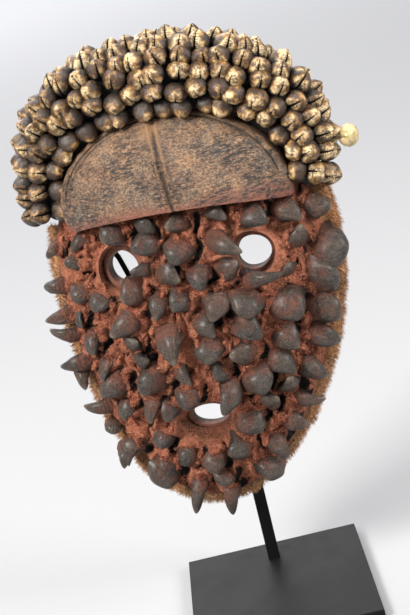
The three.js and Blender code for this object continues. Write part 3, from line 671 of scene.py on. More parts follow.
# Middle of each horn in the picture, its width and length there, the way it points in degrees
# with 90 up the picture, and how blunt it is.
HORNS_SEEN = (
    (83, 241, 13, 27, 235, 2.2), (118, 232, 24, 27, 215, 3.0), (146, 226, 20, 22, 60, 3.0),
    (179, 221, 18, 27, 205, 3.0), (213, 212, 17, 30, 335, 2.0), (252, 212, 24, 32, 320, 2.0),
    (285, 209, 22, 30, 315, 2.0), (311, 206, 22, 28, 10, 2.5),
    (56, 249, 13, 20, 250, 2.0), (77, 259, 15, 20, 200, 2.5), (180, 248, 24, 30, 255, 2.6),
    (294, 238, 17, 30, 80, 2.6), (322, 244, 34, 32, 0, 4.0),
    (144, 269, 14, 24, 185, 1.6), (168, 272, 20, 34, 340, 2.2), (200, 273, 22, 30, 280, 2.4),
    (228, 268, 22, 28, 50, 1.8), (287, 269, 17, 20, 120, 2.6), (316, 277, 32, 31, 30, 3.5),
    (86, 291, 20, 21, 230, 2.6), (104, 298, 21, 24, 260, 2.4), (137, 292, 22, 27, 200, 2.8),
    (160, 303, 16, 31, 265, 2.2), (183, 298, 22, 27, 230, 2.0), (216, 301, 26, 34, 260, 1.8),
    (247, 299, 30, 31, 268, 2.4), (283, 302, 32, 34, 330, 2.6), (319, 306, 27, 36, 345, 2.6),
    (85, 316, 16, 24, 330, 2.2), (128, 321, 21, 40, 222, 2.2), (207, 321, 20, 32, 310, 2.0),
    (245, 323, 22, 38, 335, 2.6), (283, 333, 22, 33, 330, 2.6), (320, 331, 20, 38, 350, 2.6),
    (98, 338, 20, 28, 310, 2.4), (137, 342, 19, 22, 45, 2.4), (209, 345, 26, 30, 265, 3.0),
    (244, 346, 24, 35, 190, 2.6), (281, 356, 22, 36, 325, 2.0), (311, 362, 20, 36, 335, 2.0),
    (110, 367, 15, 32, 262, 2.0), (145, 357, 17, 26, 20, 2.6), (84, 374, 14, 30, 290, 2.0),
    (115, 381, 22, 34, 222, 2.0), (156, 379, 26, 30, 200, 3.0), (183, 372, 14, 27, 325, 2.0),
    (254, 375, 28, 32, 310, 3.0), (222, 369, 20, 18, 200, 3.0), (287, 380, 20, 28, 120, 2.4),
    (130, 405, 17, 26, 262, 2.2), (155, 405, 17, 32, 268, 2.4), (174, 408, 17, 24, 240, 2.2),
    (190, 393, 22, 26, 265, 2.2), (268, 398, 19, 22, 45, 3.0), (252, 415, 24, 28, 310, 3.0),
    (291, 417, 18, 30, 0, 2.6), (115, 424, 15, 16, 270, 4.0),
    (166, 434, 18, 22, 265, 2.4), (136, 441, 20, 20, 250, 2.8), (125, 454, 14, 26, 280, 2.0),
    (239, 441, 22, 28, 200, 2.6), (279, 441, 18, 34, 300, 2.6), (192, 452, 22, 21, 215, 1.8),
    (215, 456, 22, 24, 280, 2.8), (270, 461, 26, 26, 240, 3.0), (172, 463, 20, 22, 230, 3.0),
    (226, 472, 18, 20, 265, 3.0),
)

# Horns that stand clear: place on the face, way they point, width, length, flatness and lean.
LONE_HORNS = {
    "horn_nose": ((-19, -49), (0.3, -1), 23, 32, 0.7, 0.75, 1.6),
    "horn_over_mouth": ((22, -98), (-0.6, -1), 18, 28, 0.8, 0.75, 2.4),
    "horn_at_left_eye": ((-18, 20), (-1, -0.27), 20, 20, 0.8, 0.75, 3.0),
    "horn_at_right_eye": ((27, 16), (1, -0.56), 19, 31, 0.8, 0.75, 2.0),
    "horn_under_right_eye": ((46, -19), (1, 0.2), 15, 35, 0.8, 0.75, 1.7),
    "horn_right_thorn": ((66, -122), (1, -0.05), 16, 24, 0.8, 0.75, 1.5),
    "horn_chin_left": ((-19, -181), (-0.3, -1), 14, 28, 0.8, 0.95, 1.8),
    "horn_chin_right": ((3, -191), (-0.1, -1), 15, 23, 0.8, 0.95, 1.8),
    "horn_block": ((-43, -167), (-0.8, -0.6), 26, 20, 0.5, 0.75, 6.0),
    "horn_edge_spike_1": ((-98, -12), (-1, 0), 16, 19, 0.8, 0.9, 1.8),
    "horn_edge_spike_2": ((-98, -35), (-1, -0.2), 14, 24, 0.8, 0.9, 1.7),
    "horn_edge_spike_3": ((-95, -52), (-1, 0.2), 13, 24, 0.8, 0.9, 3.0),
    "horn_edge_spike_4": ((-90, -74), (-1, -0.15), 15, 26, 0.8, 0.9, 1.9),
    "horn_edge_spike_5": ((-80, -113), (-1, 0.05), 15, 23, 0.8, 0.9, 1.7),
    "horn_edge_spike_6": ((-68, -146), (-0.35, -1), 13, 21, 0.8, 0.9, 2.0),
}


def uneven(n):
    """A steady unevenness between -1 and 1: the same number always gives the same value."""
    wave = math.sin(n * 12.9898 + 4.1414) * 437.585
    return 2 * (wave - math.floor(wave)) - 1


def crust_surface(x, z):
    """The paste's own surface there and the way it faces, before its lumps."""
    def depth(a, b):
        return face_depth(a, b, 0) + CRUST_THICKNESS
    slope_x = (depth(x + 1, z) - depth(x - 1, z)) / 2
    slope_z = (depth(x, z + 1) - depth(x, z - 1)) / 2
    return Vector((x, -depth(x, z), z)), Vector((-slope_x, -1, -slope_z)).normalized()


def seen_on_face(px, py):
    """The point of the face that shows at a pixel of the picture."""
    ray = (ahead + picture_right * ((px - PICTURE[0] / 2) / FOCAL_PIXELS)
           + picture_down * ((py - PICTURE[1] / 2) / FOCAL_PIXELS))
    start = TO_MASK.inverted() @ CAMERA_PLACE
    step = TO_MASK.inverted().to_3x3() @ ray
    near, far = NEARER_THAN_MASK, FARTHER_THAN_MASK
    for _ in range(HALVINGS):
        middle = (near + far) / 2
        point = start + step * middle
        if -point.y > face_depth(point.x, point.z, 0) + CRUST_THICKNESS:
            near = middle
        else:
            far = middle
    return point.x, point.z


def horn_mesh(points, faces, tones, number, x, z, way, width, reach, rise, flat, blunt):
    """Adds one horn: it rises from its seat and bends over, and its skin is lumpy and ridged."""
    point, facing = crust_surface(x, z)
    way = Vector((way[0], 0, way[1])).normalized()
    way = (way - facing * way.dot(facing)).normalized()
    across = way.cross(facing).normalized()
    sway = HORN_SWAY * width * uneven(number + 63)

    def axis_at(along):
        rising = -HORN_SEAT + (rise + HORN_SEAT) * math.sin(along * math.pi / 2)
        swayed = sway * math.sin(along * math.pi)
        return point + facing * rising + way * (reach * along ** HORN_BEND_POWER) + across * swayed
    start = len(points)
    for r in range(HORN_RINGS):
        along = 1 - (1 - r / HORN_RINGS) ** HORN_RINGS_GATHER
        centre = axis_at(along)
        forward = (axis_at(along + 0.02) - centre).normalized()
        thick = forward.cross(across).normalized()
        share = (1 - along ** blunt) ** HORN_ROUNDING * (1 - HORN_TAPER * along)
        for s in range(HORN_SIDES):
            angle = 2 * math.pi * s / HORN_SIDES
            cosine, sine = math.cos(angle), math.sin(angle)
            ridge = 1 + HORN_RIDGE * max(0, math.cos(2 * angle + 2 * uneven(number + 31))) ** 3
            lump = 1 + HORN_LUMPS * noise.noise(Vector((cosine * 1.1 + number, sine * 1.1, along * 2.6)))
            dented = noise.noise(Vector((cosine * 2.6, sine * 2.6 + number, along * 5.5)))
            dent = 1 - HORN_DENTS * max(0, dented) ** 0.7
            radius = width / 2 * share * ridge * lump * dent
            points.append(centre + across * (radius * cosine) + thick * (radius * flat * sine))
            tones.append((along, number * TONE_STEP % 1, cosine, sine, 0.8 * along + 5 * number))
    points.append(axis_at(1))
    tones.append((1.0, number * TONE_STEP % 1, 0.0, 0.0, 0.8 + 5 * number))
    for r in range(HORN_RINGS - 1):
        for s in range(HORN_SIDES):
            n = (s + 1) % HORN_SIDES
            a, b = start + r * HORN_SIDES, start + (r + 1) * HORN_SIDES
            faces.append((a + s, a + n, b + n, b + s))
    last, tip = start + (HORN_RINGS - 1) * HORN_SIDES, start + HORN_RINGS * HORN_SIDES
    for s in range(HORN_SIDES):
        faces.append((last + s, last + (s + 1) % HORN_SIDES, tip))
    faces.append(tuple(start + s for s in reversed(range(HORN_SIDES))))


HORN_GREY = (0.058, 0.045, 0.035, 1)
HORN_DARK = (0.014, 0.011, 0.009, 1)
HORN_STREAK = (0.165, 0.130, 0.102, 1)
HORN_BROWN = (0.085, 0.042, 0.027, 1)
HORN_TIP_HIGHLIGHT = (0.330, 0.260, 0.180, 1)
RED_DUST = (0.230, 0.073, 0.042, 1)
HORN_GRIT_DEPTH, HORN_STREAK_DEPTH, HORN_GROWTH_DEPTH, HORN_LUMP_DEPTH = 0.0018, 0.0020, 0.0005, 0.0030
GROWTH_RINGS, GROWTH_UNEVENNESS = 62, 16

horn_skin, tree = new_material("satin_horn")
place = place_on(tree)
horn_place = attribute_of(tree, "horn_place", "Vector")
cloud = speckle(tree, place, 110, 5, 0.6)
grit = speckle(tree, place, 480, 6, 0.78)
flecks = speckle(tree, place, 1100, 4, 0.85)
streaks = speckle(tree, horn_place, 2.2, 6, 0.74)
along = attribute_of(tree, "along")
tone = attribute_of(tree, "tone")
around = node_of(tree, "ShaderNodeSeparateXYZ", Vector=horn_place)
# Painted shade: one flank of each horn, by its place round the horn, is painted dark.
painted_flank_shade = sum_of(tree, around.outputs["Y"], between(tree, grit, 0.3, 0.7, -0.3, 0.3))
wave = sum_of(tree, product_of(tree, along, GROWTH_RINGS), between(tree, cloud, 0, 1, 0, GROWTH_UNEVENNESS))
growth = node_of(tree, "ShaderNodeMath", operation="SINE", Value=wave).outputs[0]
growth = product_of(tree, between(tree, growth, 0.1, 0.9), between(tree, along, 0.75, 0.35, 0, 0.7))
# Painted highlight: each horn is painted pale towards its tip.
tip = product_of(tree, between(tree, along, 0.84, 1.0), between(tree, tone, 0.3, 0.9, 0.15, 0.6))
low = sum_of(tree, along, between(tree, cloud, 0.3, 0.7, -0.28, 0.28))
dusting = product_of(tree, between(tree, low, 0.64, 0.20), between(tree, flecks, 0.44, 0.53))
patches = between(tree, speckle(tree, place, 65, 5, 0.7), 0.58, 0.70, 0, 0.6)
dusting = sum_of(tree, dusting, product_of(tree, patches, flecks))
colour = layered(
    tree, HORN_DARK,
    (between(tree, cloud, 0.38, 0.62), HORN_GREY),
    (between(tree, streaks, 0.54, 0.68, 0, 0.75), HORN_STREAK),
    (between(tree, streaks, 0.46, 0.34, 0, 0.8), HORN_DARK),
    (growth, HORN_DARK),
    (between(tree, tone, 0.45, 1.0, 0.0, 0.7), HORN_BROWN),
    (between(tree, flecks, 0.51, 0.60, 0, 0.75), HORN_STREAK),
    (between(tree, flecks, 0.48, 0.41, 0, 0.9), HORN_DARK),
    (tip, HORN_TIP_HIGHLIGHT),
    (between(tree, dusting, 0, 1, 0, 0.92), RED_DUST),
    (between(tree, painted_flank_shade, -0.40, 0.25, 0, 0.85), HORN_DARK),
)
rough = sum_of(tree, dusting, between(tree, grit, 0.4, 0.7, 0, 0.35))
surface(tree, Base_Color=colour, Roughness=between(tree, rough, 0, 0.9, 0.34, 0.80),
        Coat_Weight=between(tree, dusting, 0, 0.5, 0.22, 0), Coat_Roughness=0.30, Specular_IOR_Level=0.28)
gritty = bumped(tree, grit, HORN_GRIT_DEPTH)
streaky = bumped(tree, streaks, HORN_STREAK_DEPTH, gritty)
ringed = bumped(tree, product_of(tree, growth, -1), HORN_GROWTH_DEPTH, streaky)
bumped(tree, cloud, HORN_LUMP_DEPTH, ringed)


def told_to(piece, **values):
    """Writes a value, or a triple, for each point of a piece."""
    for name, each in values.items():
        if isinstance(each[0], (int, float)):
            piece.data.attributes.new(name, "FLOAT", "POINT").data.foreach_set("value", each)
        else:
            layer = piece.data.attributes.new(name, "FLOAT_VECTOR", "POINT")
            layer.data.foreach_set("vector", [value for triple in each for value in triple])


def horn_piece(name, points, faces, tones, node):
    piece = mesh_object(name, in_mask(points), faces, horn_skin)
    told_to(piece, along=[tone[0] for tone in tones], tone=[tone[1] for tone in tones],
            horn_place=[tone[2:] for tone in tones])
    smooth(piece, sharp_over=70)
    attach(piece, "root")
    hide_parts(node)


horn_seats = []
points, faces, tones = [], [], []
for number, (px, py, width, length, degrees, blunt) in enumerate(HORNS_SEEN):
    way = math.radians(degrees)
    back = (length - width) / 2
    base = seen_on_face(px - back * math.cos(way), py + back * math.sin(way))
    tip = seen_on_face(px + 10 * math.cos(way), py - 10 * math.sin(way))
    here = seen_on_face(px, py)
    points_to = (tip[0] - here[0], tip[1] - here[1])
    reach = max(2, (length - width / 2) * MM_PER_PIXEL)
    width_mm = width * MM_PER_PIXEL * HORN_FULLER
    rise = HORN_RISE_PER_WIDTH * width_mm + HORN_RISE_PER_REACH * reach + HORN_RISE_LEAST
    horn_seats.append((*base, width_mm / 2))
    horn_mesh(points, faces, tones, number, *base, points_to, width_mm, reach, rise,
              HORN_FLATNESS + HORN_FLATNESS_VARIES * uneven(number), blunt)
horn_piece("horns", points, faces, tones, "face_crust")

for number, (name, (base, points_to, width, length, flat, lean, blunt)) in enumerate(LONE_HORNS.items()):
    points, faces, tones = [], [], []
    horn_seats.append((*base, width / 2))
    horn_mesh(points, faces, tones, number + 100, *base, points_to, width, length * lean,
              length * (1 - LEANING_LOWERS * lean), flat, blunt)
    horn_piece(name + "_tip", points, faces, tones, name)


# Red paste: clay and camwood laid over the face, pressed up round each horn and dried.
# It has cracked and crumbled between them, and runs smooth in rings round the eyes.
# Its crevices and the left eye's left wall are painted black as shade.
CRUST_SIDES, CRUST_RINGS, CRUST_BACK_RINGS = 480, 150, 12
CRUST_INSET, EDGE_ROUNDS_OVER = 1.5, 0.035
UNDER_FOREHEAD_FROM_Z, UNDER_FOREHEAD_OVER, UNDER_FOREHEAD_SUNK = 40, 8, 2.5
EYE_RING_RADIUS, EYE_RING_WIDTH, EYE_RING_HEIGHT = 17, 3.4, 3.0
CALM_ROUND_EYES, CALM_RUN_OUT = 24, 5
BASIN_BELOW_MOUTH, BASIN_DEPTH = 5, 5.5
COLLAR_WIDTH, COLLAR_HEIGHT, COLLAR_FROM, COLLAR_CALMED = 3.6, 6.2, 0.2, 0.75
COLLAR_SHARE, COLLAR_VARIES, EDGE_SHARE = 0.85, 0.9, 0.25
CREVICE_WANDERS, CREVICE_HALF_WIDTH, CREVICE_DEPTH = 3.5, 1.7, 5.5
CREVICE_OPEN_FROM, CREVICE_OPEN_OVER = 0.05, 0.25
CREVICE_REACH, CREVICE_RUN_OUT, CREVICE_FROM_HORN = 8, 4, 1.5
CRACK_SHARE, CRACK_HALF_WIDTH, CRACKS_OPEN_OVER = 0.7, 0.07, 0.2
SHRUNK_ACROSS, SHRUNK_DOWN, SHRUNK_WIDTH, SHRUNK_BEYOND = 0.92, -0.38, 3.3, 1.5
SHRUNK_FROM, SHRUNK_OVER, SHRUNK_SHARE, SHRUNK_VARIES = 0.45, 0.55, 0.75, 1.5
BIG_LUMPS, SMALL_LUMPS, FINE_LUMPS, FINE_LUMPS_CALM = 1.6, 1.3, 0.75, 0.30
PASTE_SUNK = 3.0
PASTE_HOLE_WIDER, PASTE_HOLE_FLARE, PASTE_UNDER_BROW = 1.5, 4, 0.5
PASTE_RED = (0.392, 0.094, 0.047, 1)
PASTE_LIGHT = (0.790, 0.345, 0.200, 1)
PASTE_BROWN = (0.062, 0.024, 0.011, 1)
PASTE_SHADE_BLACK = (0.006, 0.004, 0.003, 1)
PASTE_CRUMB_DEPTH, PASTE_DUST_DEPTH = 0.0046, 0.0012
CRUMB_RADIUS, CRUMB_DENSITY = 0.0014, 110000.0
LARGEST_STREWN = 1.15

seats = np.array(horn_seats)


def horns_near(x, z):
    """Distance from the closest horn's side, and how much further the second closest is."""
    away = np.hypot(x[:, None] - seats[:, 0], z[:, None] - seats[:, 1]) - seats[:, 2]
    closest = np.partition(away, 1, axis=1)[:, :2]
    return closest[:, 0], closest[:, 1] - closest[:, 0]


def sheltered(x, z):
    """1 close under a horn's lower right side, where the paste has shrunk away from it."""
    away_x, away_z = x[:, None] - seats[:, 0], z[:, None] - seats[:, 1]
    away = np.hypot(away_x, away_z)
    sideways = (SHRUNK_ACROSS * away_x + SHRUNK_DOWN * away_z) / (away + 0.1)
    towards = np.clip(sideways - SHRUNK_FROM, 0, 1) / SHRUNK_OVER
    return np.max(towards * hills(away - seats[:, 2] - SHRUNK_BEYOND, SHRUNK_WIDTH), axis=1)


def from_mouth(x, z, half_width, half_height):
    """0 in the middle of the basin round the mouth, 1 at its edge for these half sizes."""
    return np.hypot((x - MOUTH_X) / half_width, (z - MOUTH_Z + BASIN_BELOW_MOUTH) / half_height)


def smooth_zone(x, z):
    """1 in the smooth rings round the eyes and in the basin round the mouth, 0 elsewhere."""
    zone = np.zeros_like(x)
    for ex, ez, _ in EYES:
        from_eye = np.hypot(x - ex, z - ez)
        zone = np.maximum(zone, np.clip((CALM_ROUND_EYES - from_eye) / CALM_RUN_OUT, 0, 1))
    return np.maximum(zone, np.clip((1.15 - from_mouth(x, z, 26, 19)) / 0.3, 0, 1))


def gaps(x, z):
    """How deep in a crevice a point is, from 0 to 1."""
    pushed_x = x + CREVICE_WANDERS * ripples(x, 0, z, 8, 31)
    pushed_z = z + CREVICE_WANDERS * ripples(x, 0, z, 8, 37)
    near, further = horns_near(pushed_x, pushed_z)
    open_here = np.clip((ripples(x, 0, z, 20, 11) - CREVICE_OPEN_FROM) / CREVICE_OPEN_OVER, 0, 1)
    between_horns = hills(further, CREVICE_HALF_WIDTH)
    between_horns = between_horns * np.clip((CREVICE_REACH - near) / CREVICE_RUN_OUT, 0, 1)
    between_horns = between_horns * np.clip(near / CREVICE_FROM_HORN, 0, 1) * open_here
    crack = np.clip(1 - np.abs(ripples(pushed_x, 0, pushed_z, 12, 13)) / CRACK_HALF_WIDTH, 0, 1)
    crack = crack * np.clip(ripples(x, 0, z, 15, 17) / CRACKS_OPEN_OVER, 0, 1)
    shrunk = np.clip(SHRUNK_SHARE + SHRUNK_VARIES * ripples(x, 0, z, 16, 71), 0, 1)
    shrunk = sheltered(pushed_x, pushed_z) * shrunk
    return np.maximum(np.maximum(between_horns, CRACK_SHARE * crack), shrunk) * (1 - smooth_zone(x, z))


def crust_relief(x, z):
    """Collars pressed up round the horns, lumps between them, rings, basin and crevices."""
    near = horns_near(x, z)[0]
    calm = smooth_zone(x, z)
    collar = hills(np.maximum(0, near - COLLAR_FROM), COLLAR_WIDTH)
    collar = collar * (COLLAR_SHARE + COLLAR_VARIES * ripples(x, 0, z, 7, 43))
    relief = COLLAR_HEIGHT * collar * (1 - COLLAR_CALMED * calm)
    relief += (1 - calm) * (BIG_LUMPS * ripples(x, 0, z, 10, 19) + SMALL_LUMPS * ripples(x, 0, z, 4.5, 23))
    relief += (FINE_LUMPS_CALM + FINE_LUMPS * (1 - calm)) * ripples(x, 0, z, 2.3, 29)
    for ex, ez, _ in EYES:
        relief += EYE_RING_HEIGHT * hills(np.hypot(x - ex, z - ez) - EYE_RING_RADIUS, EYE_RING_WIDTH)
    relief -= BASIN_DEPTH * np.clip(1.1 - from_mouth(x, z, 24, 18), 0, 1) ** 0.8
    return relief - CREVICE_DEPTH * gaps(x, z)


def crust_thickness(x, z, fraction):
    """Full over the face, rounded off at its edge, and below the wood under the forehead."""
    under_forehead = np.clip((z - UNDER_FOREHEAD_FROM_Z) / UNDER_FOREHEAD_OVER, 0, 1)
    rounded = np.sqrt(np.clip((1 - fraction) / EDGE_ROUNDS_OVER, 0, 1))
    full = CRUST_THICKNESS * (EDGE_SHARE + (1 - EDGE_SHARE) * rounded) + crust_relief(x, z) * rounded
    return full * (1 - under_forehead) - UNDER_FOREHEAD_SUNK * under_forehead


outline = np.array(face_outline(-CRUST_INSET, CRUST_SIDES))
fractions = np.array(filled_rings(CRUST_RINGS))[:, None]
front_x = (fractions * outline[:, 0]).ravel()
front_z = (FACE_MIDDLE_Z + fractions * (outline[:, 1] - FACE_MIDDLE_Z)).ravel()
thickness = crust_thickness(front_x, front_z, np.repeat(fractions, CRUST_SIDES))
front_y = -(face_depths(front_x, front_z, 0) + thickness)
front = np.stack((front_x, front_y, front_z), axis=1).reshape(CRUST_RINGS, CRUST_SIDES, 3)
backing = []
for fraction in reversed(filled_rings(CRUST_BACK_RINGS)):
    ring_x = fraction * outline[:, 0]
    ring_z = FACE_MIDDLE_Z + fraction * (outline[:, 1] - FACE_MIDDLE_Z)
    ring_y = PASTE_SUNK - face_depths(ring_x, ring_z, 0)
    backing.append(np.stack((ring_x, ring_y, ring_z), axis=1).tolist())
middle_depth = face_depth(0, FACE_MIDDLE_Z, 0)
points, faces = skin_over([
    [(0, PASTE_SUNK - middle_depth, FACE_MIDDLE_Z)], *backing, *front.tolist(),
    [(0, -middle_depth - CRUST_THICKNESS, FACE_MIDDLE_Z)]])

paste, tree = new_material("dry_red_paste")
place = place_on(tree)
cloud = speckle(tree, place, 48, 5, 0.68)
crumb = speckle(tree, place, 330, 6, 0.84)
dust = speckle(tree, place, 950, 4, 0.85)
raised_tone = blended(tree, between(tree, crumb, 0.35, 0.62), PASTE_RED, PASTE_LIGHT)
# Painted shade: the crevices and the left eye's left wall, broken up by the crumbs, are painted black.
torn = sum_of(tree, attribute_of(tree, "gap"), between(tree, crumb, 0.3, 0.7, -0.30, 0.30))
colour = layered(
    tree, PASTE_BROWN,
    (between(tree, cloud, 0.38, 0.58), PASTE_RED),
    (between(tree, crumb, 0.48, 0.58), PASTE_RED),
    (between(tree, crumb, 0.48, 0.40, 0, 0.9), PASTE_BROWN),
    (between(tree, dust, 0.50, 0.60, 0.0, 0.85), PASTE_LIGHT),
    (between(tree, dust, 0.48, 0.40, 0.0, 0.90), PASTE_BROWN),
    (attribute_of(tree, "raised"), raised_tone),
    (attribute_of(tree, "basin"), PASTE_BROWN),
    (between(tree, torn, 0.26, 0.42), PASTE_SHADE_BLACK),
)
surface(tree, Base_Color=colour, Roughness=0.90, Specular_IOR_Level=0.25)
crumbly = bumped(tree, crumb, PASTE_CRUMB_DEPTH)
bumped(tree, dust, PASTE_DUST_DEPTH, crumbly)

crust = mesh_object("red_paste", in_mask(points), faces, paste)
join_and_cut(crust, [], [
    *hole_cutters(paste, PASTE_HOLE_WIDER, PASTE_HOLE_FLARE),
    forehead_block("solid_forehead", -PASTE_UNDER_BROW, 2, forehead_front, paste, 24)])


RING_RUBBED, RING_RUBBED_WIDTH = 0.7, 4.5
COLLAR_RUBBED, COLLAR_RUBBED_AT, COLLAR_RUBBED_WIDTH = 0.5, 2, 2.5


def paste_raised(x, y, z):
    """Rubbed lighter on the rings round the eyes and on the collars."""
    ring = sum(hills(np.hypot(x - ex, z - ez) - EYE_RING_RADIUS, RING_RUBBED_WIDTH) for ex, ez, _ in EYES)
    collar = COLLAR_RUBBED * hills(horns_near(x, z)[0] - COLLAR_RUBBED_AT, COLLAR_RUBBED_WIDTH)
    return RING_RUBBED * ring + collar * (1 + ripples(x, 0, z, 9, 53))


def paste_basin(x, y, z):
    """Darker in the basin of the mouth and down in the holes."""
    deep = np.clip((face_depths(x, z, 0) + 4 + y) / 3, 0, 1)
    return np.maximum(0.5 * np.clip(3.4 - 3 * from_mouth(x, z, 25, 18), 0, 1), 0.8 * deep)


def paste_gap(x, y, z):
    """Painted shade: black in the crevices, and on the left wall of the left eye where the rim shades it."""
    deep = np.clip((face_depths(x, z, 0) + 5 + y) / 4, 0, 1)
    return np.maximum(0.85 * gaps(x, z), 0.6 * deep * hills(np.hypot(x + 60, z), 14))


def crumbs_here(x, y, z):
    """Crumbs stick in patches on the rough front, and not in the smooth rings."""
    outside = (-y > face_depths(x, z, 0) + 2) & (z < 30)
    return outside * (1 - smooth_zone(x, z)) * np.clip(0.5 + 2.5 * ripples(x, 0, z, 18, 59), 0, 1)


tinted(crust, gap=paste_gap, raised=paste_raised, basin=paste_basin, strewn=crumbs_here)


def tree_inputs(tree, **kinds):
    """Named inputs of a tree, each with its kind of socket and its usual value, and one output."""
    for name, (kind, value) in kinds.items():
        socket = tree.interface.new_socket(name, in_out="INPUT", socket_type="NodeSocket" + kind)
        if value is not None:
            socket.default_value = value
    tree.interface.new_socket("Geometry", in_out="OUTPUT", socket_type="NodeSocketGeometry")
    return tree.nodes.new("NodeGroupInput").outputs


def end_tree(tree, copies, finish, skin=None):
    """The end of a tree: copies made real, joined to the skin they grow on, in their material."""
    made = node_of(tree, "GeometryNodeRealizeInstances", Geometry=copies).outputs[0]
    if skin is not None:
        both = node_of(tree, "GeometryNodeJoinGeometry")
        for part in (skin, made):
            give(tree, both.inputs[0], part)
        made = both.outputs[0]
    finished = node_of(tree, "GeometryNodeSetMaterial", Geometry=made, Material=finish)
    give(tree, tree.nodes.new("NodeGroupOutput").inputs[0], finished.outputs[0])
    return tree


def grown(piece, tree, **values):
    """Runs a tree on a piece with its named inputs set, and keeps the result as plain mesh."""
    grow = piece.modifiers.new(tree.name, "NODES")
    grow.node_group = tree
    for socket in tree.interface.items_tree:
        if socket.in_out == "INPUT" and socket.name in values:
            grow[socket.identifier] = values[socket.name]
    settle(piece)


def strewing_tree():
    """Strews small things over a skin where its share called strewn allows, and keeps the skin."""
    tree = bpy.data.node_groups.new("strewn_over", "GeometryNodeTree")
    given = tree_inputs(
        tree, Skin=("Geometry", None), Thing=("Object", None), Density=("Float", 1.0), Comb=("Vector", None),
        Untidy=("Float", 0.5), Smallest=("Float", 0.5), Seed=("Int", 1), Finish=("Material", None))
    thing = node_of(tree, "GeometryNodeObjectInfo", Object=given["Thing"])
    share = node_of(tree, "GeometryNodeInputNamedAttribute", data_type="FLOAT", Name="strewn")
    strewn = node_of(
        tree, "GeometryNodeDistributePointsOnFaces", distribute_method="RANDOM", Mesh=given["Skin"],
        Density=product_of(tree, share.outputs["Attribute"], given["Density"]), Seed=given["Seed"])
    stray = node_of(tree, "FunctionNodeRandomValue", data_type="FLOAT_VECTOR",
                    Min=(-1, -1, -1), Max=(1, 1, 1), Seed=given["Seed"])
    strayed = node_of(tree, "ShaderNodeVectorMath", operation="SCALE",
                      Vector=stray.outputs["Value"], Scale=given["Untidy"])
    combed = sum_of(tree, strewn.outputs["Normal"], given["Comb"], kind="ShaderNodeVectorMath")
    lie = sum_of(tree, combed, strayed.outputs[0], kind="ShaderNodeVectorMath")
    turn = node_of(tree, "FunctionNodeAlignRotationToVector", axis="Z", Vector=lie)
    size = node_of(tree, "FunctionNodeRandomValue", data_type="FLOAT",
                   Min=given["Smallest"], Max=LARGEST_STREWN, Seed=given["Seed"])
    planted = node_of(
        tree, "GeometryNodeInstanceOnPoints", Points=strewn.outputs["Points"],
        Instance=thing.outputs["Geometry"], Rotation=turn.outputs[0], Scale=size.outputs["Value"])
    return end_tree(tree, planted.outputs[0], given["Finish"], given["Skin"])


def turned_round(faces):
    return [tuple(reversed(face)) for face in faces]


def crumb_mesh(name, radius):
    """One crumb of dried paste: a small lump with uneven sides, half sunk where it sticks."""
    rings = []
    for height, share in ((-0.3, 1.0), (0.5, 0.8)):
        rings.append([(
            radius * share * (1 + 0.35 * uneven(k + 9 * height)) * math.cos(math.pi * k / 2),
            radius * share * (1 + 0.35 * uneven(k + 5 * height)) * math.sin(math.pi * k / 2),
            radius * height) for k in range(4)])
    points, faces = skin_over([[(0, 0, -radius)], *rings, [(0, 0, radius)]])
    return mesh_object(name, points, turned_round(faces), paste)


strewn_over = strewing_tree()
one_crumb = crumb_mesh("one_crumb", CRUMB_RADIUS)
grown(crust, strewn_over, Thing=one_crumb, Density=CRUMB_DENSITY, Comb=(0.0, 0.0, 0.0), Untidy=0.5,
      Smallest=0.3, Seed=2, Finish=paste)
bpy.data.objects.remove(one_crumb)
smooth(crust, sharp_over=60)
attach(crust, "root")
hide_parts("face_crust")


# Headdress pad: a roll of dark coarse cloth, stuffed tight and tied round the forehead.
# It shows only as the darkness between the shells and on its plain back.
ROLL_HALF_WIDTH, ROLL_CENTRE_Z, ROLL_UP = 98, 60, 73
ROLL_RADIUS_SIDE, ROLL_RADIUS_TOP, ROLL_DEPTH_SIDE, ROLL_DEPTH_TOP = 11, 20, 20, 32
ROLL_END = math.radians(-13)
ROLL_POWER = 2.3
ROLL_STEPS = 150
ROLL_SIDES = 40
ROLL_PUCKER, ROLL_SLACK = 0.7, 0.5
ROLL_END_STEPS, ROLL_END_SHARE, ROLL_END_BEYOND = 4, 0.55, 0.06
ROLL_TO_WOOD, ROLL_GAP = 1.1, 0.5
WEAVE_ALONG, WEAVE_AROUND = 22, 5
ROLL_MIDDLE_DEPTH, ROLL_UNROLLED_OVER = 28, 90
CLOTH_DARK = (0.016, 0.012, 0.009, 1)
CLOTH_WORN = (0.070, 0.050, 0.034, 1)
WEAVE_DEPTH, GRIME_DEPTH = 0.0008, 0.0012


def roll_rise(angle):
    return max(0, math.sin(angle))


def roll_radius(angle):
    return ROLL_RADIUS_SIDE + (ROLL_RADIUS_TOP - ROLL_RADIUS_SIDE) * roll_rise(angle)


def fuller(value, power):
    return math.copysign(abs(value) ** power, value)


def roll_point(angle, around, radius):
    cosine, sine = math.cos(angle), math.sin(angle)
    outward = Vector((fuller(cosine, 2 - 2 / ROLL_POWER) / ROLL_HALF_WIDTH, 0,
                      fuller(sine, 2 - 2 / ROLL_POWER) / ROLL_UP)).normalized()
    depth = ROLL_DEPTH_SIDE + (ROLL_DEPTH_TOP - ROLL_DEPTH_SIDE) * roll_rise(angle)
    centre = Vector((ROLL_HALF_WIDTH * fuller(cosine, 2 / ROLL_POWER), -depth,
                     ROLL_CENTRE_Z + ROLL_UP * fuller(sine, 2 / ROLL_POWER)))
    return centre + Vector((0, -radius * math.cos(around), 0)) + outward * (radius * math.sin(around))


